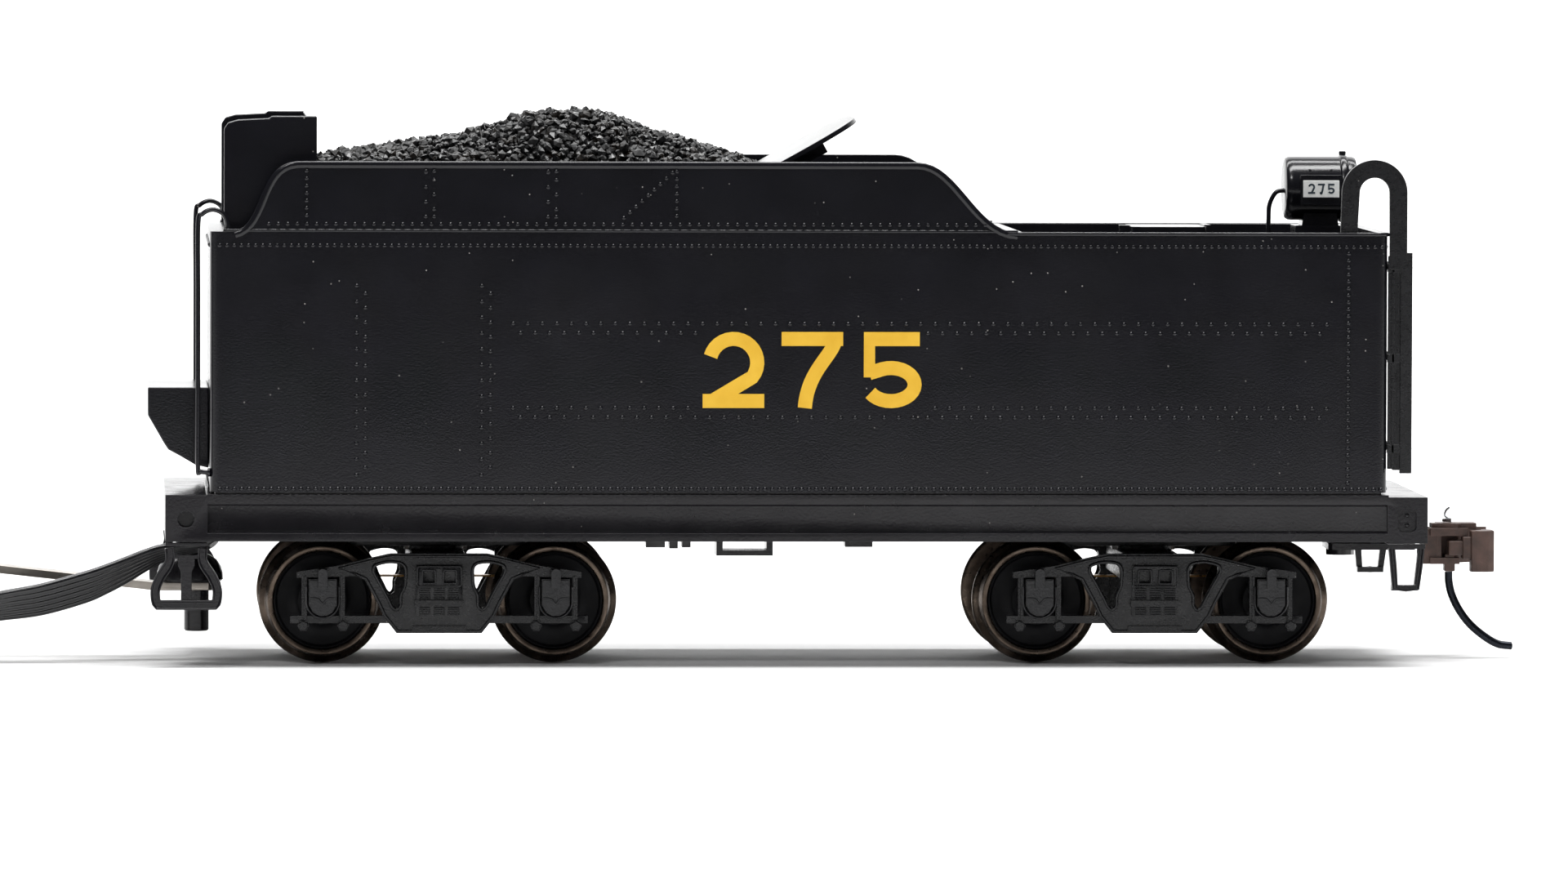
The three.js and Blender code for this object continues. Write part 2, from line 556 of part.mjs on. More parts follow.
// Head with its guard arm on the right, on a flat shank that swings in the coupler box.
function couplerHead() {
  const shank = outline([
    [53.1, -1.1], [53.4, -1.5], [55.4, -1.5], [56, -1.1], [60.2, -1.1],
    [60.2, 1.1], [56, 1.1], [55.4, 1.5], [53.4, 1.5], [53.1, 1.1],
  ]);
  const head = outline([
    [59.6, -1.9], [61.3, -1.9], [61.3, -0.1], [63.1, -0.1], [63.1, 0.6],
    [66, 2.4], [65.8, 3], [64.6, 3.1], [62, 2.2], [59.6, 1.6],
  ]);
  const cap = outline([[60.4, -1.7], [62.8, -2.3], [63.5, -1.5], [63.1, 0.3], [60.4, 0.6]]);
  const eye = rod('Z', 0.88, 10, 14, [COUPLER_PIVOT_X, 0, 0], 12);
  return cut(
    join(plate(shank, 'Z', 11.05, 12.35), plate(head, 'Z', 8.9, 12.2), plate(cap, 'Z', 12.15, 12.7)), eye
  );
}

// Knuckle: a hooked jaw that closes across the front of the head.
function knuckle() {
  const jaw = outline([
    [61.6, -1.9], [61.9, -2.7], [63, -3.2], [65.6, -3.2], [66.2, -2.8], [66.2, -0.6], [65.7, -0.35],
    [65.1, -0.6], [65, -1.6], [64.3, -2], [63.4, -1.9], [63.2, -0.5], [61.6, -0.5],
  ]);
  const foot = outline([
    [63.4, -3.2], [65.6, -3.2], [66.2, -2.8], [66.2, -0.6], [65.1, -0.6], [65, -1.6], [63.4, -1.9],
  ]);
  const stem = block(61.6, 62.6, -2, -0.6, 8.2, 8.8);
  return join(plate(jaw, 'Z', 8.6, 12.1), plate(foot, 'Z', 8.2, 8.7), stem);
}

function knuckleSpring() {
  const coil = rod('Z', 0.45, 12.75, 13.05, [61.9, -0.9, 0], 10);
  return join(coil, tube([[61.95, -0.9, 12.95], [62, -0.9, 13.5], [62.35, -0.9, 14.2]], 0.13, 6, 4));
}

function tripPin() {
  const route = [
    [62.05, 8.15], [62.1, 7.1], [62.4, 5.9], [63.1, 4.5], [64.1, 3.2], [65.4, 2.1], [66.7, 1.35], [68, 1.15],
  ];
  return tube(route.map(([x, z]) => [x, -1.3, z]), 0.375, 8, 14);
}

// ---------------------------------------------------------------- wires to the locomotive

// Each wire drops out of the slot in the floor, turns forward under the beam, fans out and comes
// down to the plug. The route is the middle of the loom: x, y and z, then how far one wire lies above
// the next, and how much wider than usual they are spaced. The wire nearest the drawbar runs lowest.
const WIRE_ROUTE = [
  [-53.35, -6.2, 15.9, 0, 0], [-53.35, -6.2, 14, 0, 0], [-53.5, -6.2, 12.4, 0, 0],
  [-54.2, -6.2, 11.3, 0.12, 0], [-55.6, -6.3, 10.7, 0.12, 0], [-58.7, -6.4, 10.15, 0.24, 0],
  [-60.5, -6.6, 9.45, 0.32, 0], [-62.2, -6.8, 8.6, 0.4, 0], [-64.2, -7.1, 7.7, 0.46, 0],
  [-66.2, -7.4, 6.95, 0.5, 0], [-70.2, -7.8, 5.85, 0.5, 0], [-74.3, -7.9, 5.2, 0.45, 0],
  [-77, -8, 4.5, 0.35, 0.05], [-79.6, -8, 3.3, 0.175, 0.15], [-81.8, -8, 2, 0.05, 0.3],
  [-84, -8, 1.25, 0, 0.4],
];

function wire(index) {
  const place = index - (WIRES - 1) / 2;
  const points = WIRE_ROUTE.map(([x, y, z, lift, wider]) => [
    x, y - (WIRE_SPACING + wider) * place, z + lift * place,
  ]);
  return tube(points, WIRE_RADIUS, 8, WIRE_STEPS);
}

function wirePlug() {
  const body = block(...PLUG, -11.9, -4.1, 0, 2.5);
  const lip = block(PLUG[0], PLUG[0] + 1.4, -12.3, -3.7, 0, 2.9);
  const sockets = Array.from({ length: WIRES }, (_, i) => {
    const y = -8 - 1.2 * (i - (WIRES - 1) / 2);
    return block(PLUG[0] - 1, PLUG[0] + 2.5, y - 0.32, y + 0.32, 0.95, 1.6);
  });
  return cut(join(body, lip), ...sockets);
}

// ---------------------------------------------------------------- the whole tender

const tender = new THREE.Group();
tender.position.x = -MIDDLE_X;

addPiece(tender, 'underframe', underframe(), FRAME_BLACK);
addPiece(tender, 'tank_shell', tankShell(), BLACK);
addPiece(tender, 'coal_bulkhead', coalBulkhead(), BLACK);
addPiece(tender, 'coal_load', coalLoad(), COAL);
addPiece(tender, 'slope_sheet', slopeSheet(), BLACK);
addPiece(tender, 'water_hatch', waterHatch(), BLACK);
addPiece(tender, 'front_locker', frontLocker(), BLACK);
addPiece(tender, 'rear_ladder', rearLadder(), BLACK);
addPiece(tender, 'drawbar_post', drawbarPost(), FRAME_BLACK);
addPiece(tender, 'backup_lamp_body', lampBody(), BLACK);
addPiece(tender, 'backup_lamp_lens', lampLens(), GLASS);
addPiece(tender, 'backup_lamp_bulb', lampBulb(), LED);
addPiece(tender, 'weight', weight(), ZINC);
addPiece(tender, 'circuit_board', circuitBoard(), BOARD);
for (const [name, side] of SIDES) {
  addPiece(tender, `front_handrail_${name}`, frontHandrail(side), BLACK);
  addPiece(tender, `front_step_${name}`, frontStep(side), FRAME_BLACK);
  addPiece(tender, `rear_step_${name}`, rearStep(side), FRAME_BLACK);
  addPiece(tender, `number_plate_${name}`, numberPlate(side), WHITE);
}
for (const [end, side] of [['front', -1], ['rear', 1]]) {
  addPiece(tender, `${end}_body_screw`, screw(side * 47, 1.8, 13.9, 14.85, 0.9, 22), STEEL);
  addPiece(tender, `${end}_kingpin_screw`, screw(side * TRUCK_X, 1.9, 6.6, 7.5, 0.9, 14), STEEL);
  addTruck(tender, end, side * TRUCK_X);
}
addPiece(tender, 'drawbar', drawbar(), STEEL);
addPiece(tender, 'coupler_box', couplerBox(), FRAME_BLACK);
addPiece(tender, 'coupler_box_lid', couplerBoxLid(), FRAME_BLACK);
addPiece(tender, 'coupler_head', couplerHead(), BROWN);
addPiece(tender, 'coupler_knuckle', knuckle(), BROWN);
addPiece(tender, 'knuckle_spring', knuckleSpring(), STEEL);
addPiece(tender, 'trip_pin', tripPin(), WIRE);
for (let i = 0; i < WIRES; i += 1) addPiece(tender, `wire_${i + 1}`, wire(i), WIRE);
addPiece(tender, 'wire_plug', wirePlug(), WIRE);

export default tender;
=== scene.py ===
"""Looks of an H0 steam locomotive tender, built around its CAD model.

Lengths inside the shape functions are millimetres in the tank's own frame: X runs to the rear from the
tank's middle, the left side is -Y, and Z is up from the bottom of the wheel flanges. in_row() turns them
into the row frame's metres.
"""

import bmesh
import bpy
import numpy as np
from bpy.props import FloatProperty, FloatVectorProperty, IntProperty, PointerProperty
from mathutils import Matrix, Vector


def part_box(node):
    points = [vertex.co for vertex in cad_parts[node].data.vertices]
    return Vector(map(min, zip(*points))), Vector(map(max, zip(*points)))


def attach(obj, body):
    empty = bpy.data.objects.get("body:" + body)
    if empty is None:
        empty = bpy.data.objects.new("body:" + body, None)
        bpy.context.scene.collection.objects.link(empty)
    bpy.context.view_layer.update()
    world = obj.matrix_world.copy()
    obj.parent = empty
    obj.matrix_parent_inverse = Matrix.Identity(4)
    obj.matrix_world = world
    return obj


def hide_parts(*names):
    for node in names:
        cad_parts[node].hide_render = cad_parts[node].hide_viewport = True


bl_info = {
    "name": "Steam locomotive tender",
    "version": (1, 0, 0),
    "blender": (4, 5, 0),
    "location": "View3D > Sidebar > Tender",
    "description": "Builds the looks of an H0 tender round its CAD model",
    "category": "Object",
}

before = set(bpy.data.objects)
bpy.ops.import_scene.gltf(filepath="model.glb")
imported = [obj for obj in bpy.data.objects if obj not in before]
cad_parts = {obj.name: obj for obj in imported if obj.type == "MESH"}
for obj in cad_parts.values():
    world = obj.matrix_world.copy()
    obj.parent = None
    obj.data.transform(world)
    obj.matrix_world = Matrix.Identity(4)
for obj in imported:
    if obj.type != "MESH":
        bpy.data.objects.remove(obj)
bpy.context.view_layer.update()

# ------------------------------------------------------------------ places, from the frame

MM = 0.001
SUNK = 0.05  # how far what lies on a face reaches into it
WELD = 1e-7  # points nearer than this, in metres, are one
SHARP_TURN = np.radians(35)  # edges that turn by more are shaded as sharp
BEVELLED_TURN = np.radians(30)  # edges that turn by more are rounded


def millimetres(node):
    """The lowest and highest corner of a CAD node in row millimetres."""
    return [np.array(corner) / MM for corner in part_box(node)]


def tank_frame(node):
    """The lowest and highest corner of a CAD node in tank millimetres."""
    return [corner - (TANK_X, 0, 0) for corner in millimetres(node)]


TANK_X = float(np.mean([corner[0] for corner in millimetres("tank_shell")]))
TANK_LOW, TANK_HIGH = tank_frame("tank_shell")
HALF_WIDTH = TANK_HIGH[1]
HALF_LENGTH = TANK_HIGH[0]
FLARE_TOP = TANK_HIGH[2]
FLARE_HEIGHT = 6.5
DECK_DEPTH = 1.0
TANK_TOP = FLARE_TOP - FLARE_HEIGHT
DECK_TOP = TANK_TOP - DECK_DEPTH
TRUCKS = {"front": -33.3, "rear": 33.3}
AXLES = {1: -10.8, 2: 10.8}
AXLE_HEIGHT = 5.9
SIDES = {"left": -1, "right": 1}
WIRES = 6

# ------------------------------------------------------------------ numpy surfaces


def in_row(points):
    """Tank millimetres to row metres."""
    return (np.asarray(points, float) + (TANK_X, 0, 0)) * MM


def grid(points, close_u=False, close_v=False):
    """The surface over a grid of points, a face to a cell; a closed way joins its last row to its first."""
    rows, columns = points.shape[:2]
    index = np.arange(rows * columns).reshape(rows, columns)
    if close_u:
        index = np.vstack([index, index[:1]])
    if close_v:
        index = np.hstack([index, index[:, :1]])
    cells = [index[:-1, :-1], index[1:, :-1], index[1:, 1:], index[:-1, 1:]]
    return points.reshape(-1, 3), np.stack(cells, -1).reshape(-1, 4).tolist()


def turned(profile, axis, centre=(0, 0, 0), sides=48):
    """A turning: each (radius, place) of the profile is a circle square to the axis at that place."""
    along = np.eye(3)["XYZ".index(axis)]
    across = np.roll(along, 1)
    other = np.cross(along, across)
    angle = np.linspace(0, 2 * np.pi, sides, endpoint=False)[None, :, None]
    radius, place = np.asarray(profile, float).T[:, :, None, None]
    ring = np.cos(angle) * across + np.sin(angle) * other
    return grid(np.asarray(centre) + radius * ring + place * along, close_v=True)


def rod(axis, radius, start, end, centre=(0, 0, 0), sides=20, edge=0.06):
    """A round bar with its ends' edges eased: a turning of a rectangle with cut corners."""
    face = radius - edge
    profile = [(0, start), (face, start), (radius, start + edge), (radius, end - edge), (face, end), (0, end)]
    return turned(profile, axis, centre, sides)


def swept(path, profile, up, closed=False):
    """A profile carried along a path, square to it all the way, its second coordinate towards up."""
    path = np.asarray(path, float)
    profile = np.asarray(profile, float)
    if closed:
        tangent = np.roll(path, -1, 0) - np.roll(path, 1, 0)
    else:
        tangent = np.gradient(path, axis=0)
    tangent /= np.linalg.norm(tangent, axis=1, keepdims=True)
    side = np.cross(tangent, up)
    side /= np.linalg.norm(side, axis=1, keepdims=True)
    above = np.cross(side, tangent)
    points = path[:, None] + side[:, None] * profile[None, :, :1] + above[:, None] * profile[None, :, 1:]
    vertices, faces = grid(points, close_u=closed, close_v=True)
    if not closed:
        count = len(profile)
        faces += [list(range(count)), list(range(len(vertices) - count, len(vertices)))]
    return vertices, faces


def circle(radius, sides=12):
    """The points of a circle."""
    angle = np.linspace(0, 2 * np.pi, sides, endpoint=False)
    return radius * np.stack([np.cos(angle), np.sin(angle)], -1)


def curve(points, steps=8, closed=False):
    """A smooth curve through points: a cubic for each span, whose end slopes follow the neighbours."""
    known = np.asarray(points, float)
    if closed:
        known = np.vstack([known[-1], known, known[:2]])
    else:
        known = np.vstack([2 * known[0] - known[1], known, 2 * known[-1] - known[-2]])
    t = np.linspace(0, 1, steps, endpoint=False)[None, :, None]
    a, b, c, d = (known[i : len(known) - 3 + i][:, None] for i in range(4))
    spans = 0.5 * (2 * b + (c - a) * t + (2 * a - 5 * b + 4 * c - d) * t**2 + (3 * b - a - 3 * c + d) * t**3)
    spans = spans.reshape(-1, known.shape[1])
    return spans if closed else np.vstack([spans, known[-2:-1]])


def bezier(p0, p1, p2, p3, steps=16):
    """The cubic from p0 to p3 that leaves towards p1 and arrives from p2."""
    t = np.linspace(0, 1, steps)[:, None]
    p0, p1, p2, p3 = (np.asarray(p, float) for p in (p0, p1, p2, p3))
    return (1 - t) ** 3 * p0 + 3 * t * (1 - t) ** 2 * p1 + 3 * t**2 * (1 - t) * p2 + t**3 * p3


def arc(centre, radius, start, end, steps=12):
    """Points round an arc in a plane, with its angles in degrees."""
    angle = np.radians(np.linspace(start, end, steps))
    return np.asarray(centre) + radius * np.stack([np.cos(angle), np.sin(angle)], -1)


def on_plane(outline, axis, depth):
    """Points of a flat outline in space: X takes (y, z), Y takes (x, z) and Z takes (x, y)."""
    first, second = np.asarray(outline, float).T
    deep = np.full_like(first, depth)
    order = {"X": (deep, first, second), "Y": (first, deep, second), "Z": (first, second, deep)}
    return np.stack(order[axis], -1)


def plate(outline, axis, start, end):
    """A flat outline made solid between two places along an axis."""
    count = len(outline)
    points = np.stack([on_plane(outline, axis, start), on_plane(outline, axis, end)])
    vertices, faces = grid(points, close_v=True)
    return vertices, faces + [list(range(count)), list(range(count, 2 * count))]


def rounded(u0, v0, u1, v1, radius, steps=5):
    """The outline of a rectangle with round corners."""
    left, right, low, high = u0 + radius, u1 - radius, v0 + radius, v1 - radius
    corners = [(right, high, 0), (left, high, 90), (left, low, 180), (right, low, 270)]
    return np.vstack([arc((u, v), radius, start, start + 90, steps) for u, v, start in corners])


def brick(x0, x1, y0, y1, z0, z1):
    """A plain block, for the bevel to round."""
    return plate([(x0, z0), (x1, z0), (x1, z1), (x0, z1)], "Y", y0, y1)


def domes(centres, outward, radius, height, sides=8, rings=3):
    """Rivet heads: height times an angle's cosine stands over radius times its sine, on a flat back."""
    centres = np.asarray(centres, float)
    outward = np.asarray(outward, float)
    across = np.roll(outward, 1)
    other = np.cross(outward, across)
    rise = np.linspace(0, np.pi / 2, rings + 1)
    dome = np.stack([radius * np.sin(rise), height * np.cos(rise)], -1)
    profile = np.vstack([dome, [[radius, -SUNK], [0, -SUNK]]])
    angle = np.linspace(0, 2 * np.pi, sides, endpoint=False)[None, :, None]
    ring = np.cos(angle) * across + np.sin(angle) * other
    head = profile[:, :1, None] * ring + profile[:, 1:, None] * outward
    vertices, faces = grid(head, close_v=True)
    count = len(vertices)
    heads = (centres[:, None] + vertices[None]).reshape(-1, 3)
    offsets = np.arange(len(centres))[:, None, None] * count
    return heads, (np.asarray(faces)[None] + offsets).reshape(-1, 4).tolist()


# ------------------------------------------------------------------ pieces


def join_surfaces(surfaces):
    """Several surfaces as one list of points and one of faces."""
    vertices, faces, count = [], [], 0
    for points, cells in surfaces:
        vertices.append(points)
        faces += [[corner + count for corner in cell] for cell in cells]
        count += len(points)
    return np.vstack(vertices), faces


def add_bevel(piece, width, segments=2):
    """Rounds the edges that turn by more than 30 degrees; width is in millimetres."""
    bevel = piece.modifiers.new("edges", "BEVEL")
    bevel.width = width * MM
    bevel.segments = segments
    bevel.limit_method = "ANGLE"
    bevel.angle_limit = BEVELLED_TURN
    bevel.harden_normals = True


def finish_mesh(mesh, flat, recalculate):
    """Closes seams and poles, points the faces outwards and shades what bends gently as round."""
    work = bmesh.new()
    work.from_mesh(mesh)
    bmesh.ops.remove_doubles(work, verts=work.verts, dist=WELD)
    if recalculate:
        bmesh.ops.recalc_face_normals(work, faces=work.faces)
    work.to_mesh(mesh)
    work.free()
    if flat:
        mesh.shade_flat()
    else:
        mesh.shade_smooth()
        mesh.set_sharp_from_angle(angle=SHARP_TURN)


def dress(piece, material, body, replaces):
    """Gives a piece its material, the body it rides on and the CAD nodes that it stands for."""
    piece.data.materials.clear()
    piece.data.materials.append(material())
    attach(piece, body)
    if replaces:
        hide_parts(*replaces)
    return piece


def new_piece(name, surfaces, material, body="root", replaces=(), bevel=0, flat=False):
    """One object from surfaces in tank millimetres."""
    vertices, faces = join_surfaces(surfaces)
    mesh = bpy.data.meshes.new(name)
    mesh.from_pydata(in_row(vertices).tolist(), [], faces)
    finish_mesh(mesh, flat, recalculate=True)
    piece = bpy.data.objects.new(name, mesh)
    bpy.context.scene.collection.objects.link(piece)
    if bevel:
        add_bevel(piece, bevel)
    return dress(piece, material, body, replaces)


def eased_copy(node, name, material, body="root", bevel=0.1):
    """A copy of a CAD node, its flat faces made whole and its edges rounded, which stands for the node."""
    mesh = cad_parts[node].data.copy()
    mesh.name = name
    work = bmesh.new()
    work.from_mesh(mesh)
    bmesh.ops.remove_doubles(work, verts=work.verts, dist=WELD)
    bmesh.ops.dissolve_limit(work, angle_limit=np.radians(1), verts=work.verts, edges=work.edges)
    work.to_mesh(mesh)
    work.free()
    mesh.shade_smooth()
    mesh.set_sharp_from_angle(angle=SHARP_TURN)
    piece = bpy.data.objects.new(name, mesh)
    bpy.context.scene.collection.objects.link(piece)
    add_bevel(piece, bevel)
    return dress(piece, material, body, [node])


# ------------------------------------------------------------------ materials


def linear(code):
    """A colour written as sRGB hex, turned to linear light."""
    channels = [int(code[i : i + 2], 16) / 255 for i in (1, 3, 5)]
    return [c / 12.92 if c <= 0.04045 else ((c + 0.055) / 1.055) ** 2.4 for c in channels]


def per(size):
    """The texture scale that makes a pattern's features about size millimetres."""
    return 1 / (size * MM)


def add(tree, kind, inputs=None, **settings):
    """Adds a node with its settings; an input is a value or another node's output."""
    made = tree.nodes.new(kind)
    for name, value in settings.items():
        setattr(made, name, value)
    for name, value in (inputs or {}).items():
        if isinstance(value, bpy.types.NodeSocket):
            tree.links.new(value, made.inputs[name])
        else:
            made.inputs[name].default_value = value
    return made


def start(name, **sockets):
    """A new material with a principled shader: the material, its tree, its shader and its place output."""
    material = bpy.data.materials.new(name)
    material.use_nodes = True
    tree = material.node_tree
    tree.nodes.clear()
    shader = add(tree, "ShaderNodeBsdfPrincipled")
    for socket, value in sockets.items():
        shader.inputs[socket.replace("_", " ")].default_value = value
    add(tree, "ShaderNodeOutputMaterial", {"Surface": shader.outputs["BSDF"]}, name="output")
    place = add(tree, "ShaderNodeTexCoord").outputs["Object"]
    return material, tree, shader, place


def two_tone(tree, shader, place, size, dark, light, detail=3):
    """Colour that drifts between two shades over patches of one size."""
    cloud = add(tree, "ShaderNodeTexNoise", {"Vector": place, "Scale": per(size), "Detail": detail})
    ramp = add(tree, "ShaderNodeValToRGB", {"Fac": cloud.outputs["Fac"]})
    ramp.color_ramp.elements[0].position = 0.3
    ramp.color_ramp.elements[0].color = [*linear(dark), 1]
    ramp.color_ramp.elements[1].position = 0.7
    ramp.color_ramp.elements[1].color = [*linear(light), 1]
    tree.links.new(ramp.outputs["Color"], shader.inputs["Base Color"])
    return ramp.outputs["Color"]


def gloss_drift(tree, shader, place, size, low, high):
    """Roughness that drifts between two values over patches of one size."""
    cloud = add(tree, "ShaderNodeTexNoise", {"Vector": place, "Scale": per(size), "Detail": 4.0})
    limits = {"From Min": 0.3, "From Max": 0.7, "To Min": low, "To Max": high}
    spread = add(tree, "ShaderNodeMapRange", {"Value": cloud.outputs["Fac"], **limits})
    tree.links.new(spread.outputs["Result"], shader.inputs["Roughness"])


def relief(tree, shader, place, size, height, detail=2.0):
    """A grain that stands height millimetres proud in bumps of one size."""
    grain = add(tree, "ShaderNodeTexNoise", {"Vector": place, "Scale": per(size), "Detail": detail})
    bump = add(
        tree, "ShaderNodeBump", {"Height": grain.outputs["Fac"], "Distance": height * MM, "Strength": 1.0},
    )
    tree.links.new(bump.outputs["Normal"], shader.inputs["Normal"])


def dusted(tree, shader, place, colour, spacing, radius, share, tint):
    """Pale specks of dust: in a share of the cells of one spacing, the middle of the cell takes the tint."""
    cells = add(tree, "ShaderNodeTexVoronoi", {"Vector": place, "Scale": per(spacing)})
    near = add(
        tree, "ShaderNodeMath", {0: cells.outputs["Distance"], 1: radius / spacing}, operation="LESS_THAN",
    )
    chosen = add(tree, "ShaderNodeSeparateColor", {"Color": cells.outputs["Color"]})
    some = add(tree, "ShaderNodeMath", {0: chosen.outputs["Red"], 1: share}, operation="LESS_THAN")
    both = add(tree, "ShaderNodeMath", {0: near.outputs[0], 1: some.outputs[0]}, operation="MULTIPLY")
    mixed = add(
        tree, "ShaderNodeMix", {"Factor": both.outputs[0], 6: colour, 7: [*linear(tint), 1]},
        data_type="RGBA",
    )
    tree.links.new(mixed.outputs[2], shader.inputs["Base Color"])


MADE = {}


def once(make):
    """Makes a material the first time that it is asked for, and gives the same one after that."""

    def give():
        if make.__name__ not in MADE:
            MADE[make.__name__] = make()
        return MADE[make.__name__]

    return give


def finish(name, tones, gloss=None, grain=None, dust=None, **sockets):
    """A material whose shade and gloss drift over patches, which may have a grain and specks of dust."""
    material, tree, shader, place = start(name, **sockets)
    colour = two_tone(tree, shader, place, *tones)
    if gloss:
        gloss_drift(tree, shader, place, *gloss)
    if grain:
        relief(tree, shader, place, *grain)
    if dust:
        dusted(tree, shader, place, colour, *dust)
    return material


@once
def painted_abs():
    """Moulded ABS under satin black paint: an almost smooth skin with soft highlights and a little dust."""
    return finish(
        "satin painted ABS", tones=(4, "#0f0f13", "#141419"), gloss=(9, 0.17, 0.22), grain=(0.16, 0.006),
        dust=(0.8, 0.06, 0.14, "#a39f9a"), Specular_IOR_Level=0.42,
    )


@once
def painted_zinc():
    """Die-cast zinc under satin black paint: a shade lighter than the tank, with a cast grain."""
    return finish(
        "satin painted zinc casting", tones=(3, "#141316", "#1b1a1d"), gloss=(2.5, 0.2, 0.28),
        grain=(0.25, 0.01),
        dust=(0.9, 0.05, 0.14, "#94908b"), Specular_IOR_Level=0.38,
    )


@once
def moulded_acetal():
    """Black acetal, moulded in a blasted tool: fine grain that breaks the highlights up."""
    return finish(
        "blasted black acetal", tones=(2, "#101012", "#18181a"), gloss=(0.5, 0.22, 0.34),
        grain=(0.14, 0.02, 4.0),
        dust=(0.9, 0.05, 0.1, "#8c8985"), Specular_IOR_Level=0.42,
    )


@once
def rough_acetal():
    """The journal boxes' coarser blasted grain, in the same black acetal."""
    return finish(
        "coarse blasted acetal", tones=(0.5, "#171719", "#242426"), grain=(0.2, 0.05, 5.0), IOR=1.48,
        Roughness=0.42,
    )


@once
def crushed_coal():
    """Real coal, crushed: black glassy break faces, some with a brown cast."""
    material, tree, shader, place = start("crushed coal", Specular_IOR_Level=0.42)
    cells = add(tree, "ShaderNodeTexVoronoi", {"Vector": place, "Scale": per(0.9)})
    shade = add(tree, "ShaderNodeSeparateColor", {"Color": cells.outputs["Color"]})
    ramp = add(tree, "ShaderNodeValToRGB", {"Fac": shade.outputs["Red"]})
    ramp.color_ramp.elements[0].color = [*linear("#060607"), 1]
    ramp.color_ramp.elements[1].color = [*linear("#1a1510"), 1]
    ramp.color_ramp.elements[1].position = 1.0
    ramp.color_ramp.elements.new(0.7).color = [*linear("#0d0d0e"), 1]
    tree.links.new(ramp.outputs["Color"], shader.inputs["Base Color"])
    spread = add(
        tree, "ShaderNodeMapRange", {"Value": shade.outputs["Green"], "To Min": 0.16, "To Max": 0.55},
    )
    tree.links.new(spread.outputs["Result"], shader.inputs["Roughness"])
    return material


@once
def blackened_nickel():
    """Turned nickel silver, chemically blackened: warm dark metal with a soft sheen."""
    return finish(
        "blackened nickel silver", tones=(1.2, "#4b4139", "#6a5e54"), gloss=(0.4, 0.24, 0.4),
        grain=(0.1, 0.002),
        Metallic=1.0,
    )


@once
def painted_wheel():
    """The wheels' painted faces: flat dark grey."""
    return finish(
        "painted wheel face", tones=(1.5, "#0f0f11", "#161618"), gloss=(0.7, 0.4, 0.52), grain=(0.12, 0.004),
        Specular_IOR_Level=0.12,
    )


@once
def strip_steel():
    """Rolled steel strip, stamped: grey metal with fine lines along its length."""
    material, tree, shader, place = start("rolled steel strip", Metallic=1.0)
    two_tone(tree, shader, place, 2, "#8a847d", "#a59f97")
    stretched = add(tree, "ShaderNodeMapping", {"Vector": place, "Scale": (0.06, 1, 1)})
    gloss_drift(tree, shader, stretched.outputs["Vector"], 0.12, 0.26, 0.44)
    return material


@once
def plated_screw():
    """Zinc plated steel: bright and slightly blue."""
    return finish("zinc plated steel", tones=(1, "#9c9fa3", "#b9bbbd"), gloss=(0.4, 0.22, 0.36), Metallic=1.0)


@once
def blued_wire():
    """Blackened spring steel wire: near black metal with a smooth, tight highlight."""
    return finish(
        "blackened spring steel", tones=(1, "#15181f", "#20242c"), gloss=(0.5, 0.24, 0.34), Metallic=0.7,
    )


@once
def brown_acetal():
    """Brown acetal, moulded in a blasted tool and slightly chalky."""
    return finish(
        "blasted brown acetal", tones=(1.2, "#40302a", "#5a443c"), gloss=(0.4, 0.42, 0.58),
        grain=(0.16, 0.03, 4.0),
        IOR=1.48,
    )


@once
def spring_bronze():
    """Phosphor bronze strip: warm yellow metal, slightly tarnished."""
    return finish("phosphor bronze", tones=(1.5, "#a5793f", "#c39a5c"), gloss=(0.5, 0.22, 0.4), Metallic=1.0)


@once
def printed_yellow():
    """Golden yellow pad printing: a thin, even, satin film that takes the paint's grain."""
    return finish(
        "golden yellow print", tones=(2, "#eab62c", "#f4c33a"), gloss=(0.6, 0.4, 0.5), grain=(0.16, 0.004),
        IOR=1.48,
    )


@once
def white_print():
    """White print on the lamp's number boxes."""
    return finish("white print", tones=(0.8, "#eceeec", "#f8f8f5"), gloss=(0.5, 0.35, 0.5), IOR=1.48)


@once
def dark_print():
    """Blue black print on the lamp's number boxes."""
    return finish("blue black print", tones=(0.5, "#26313a", "#34414b"), gloss=(0.5, 0.4, 0.55), IOR=1.48)


@once
def clear_lens():
    """Clear moulded acrylic: bright rim, and the bulb shows through."""
    material, tree, shader, place = start("clear acrylic", IOR=1.49, Transmission_Weight=1.0)
    gloss_drift(tree, shader, place, 0.5, 0.02, 0.06)
    shader.inputs["Base Color"].default_value = [*linear("#f4f7f8"), 1]
    return material


@once
def warm_resin():
    """The lamp's warm white resin lens cap."""
    return finish("warm white resin", tones=(0.8, "#f3dca2", "#fff0c6"), gloss=(0.4, 0.15, 0.25), IOR=1.52)


@once
def wire_sleeve():
    """Soft PVC insulation: black, semi-gloss, faintly uneven."""
    return finish(
        "soft black PVC", tones=(2, "#0b0b0d", "#141417"), gloss=(0.8, 0.14, 0.22), grain=(0.5, 0.002),
        IOR=1.53,
    )


@once
def raw_zinc():
    """Zinc as it comes from the die: grey, with flow marks."""
    return finish(
        "raw zinc casting", tones=(3, "#77787a", "#929396", 6), gloss=(1, 0.42, 0.6), grain=(0.4, 0.02, 4.0),
        Metallic=0.9,
    )


@once
def solder_mask():
    """Green solder mask over glass fibre: the weave shows faintly."""
    return finish(
        "green solder mask", tones=(1.5, "#14492c", "#1d5c39"), gloss=(0.7, 0.2, 0.34), grain=(0.3, 0.004),
        IOR=1.55,
    )


# ------------------------------------------------------------------ settings


LENGTH = {"unit": "LENGTH", "precision": 5}


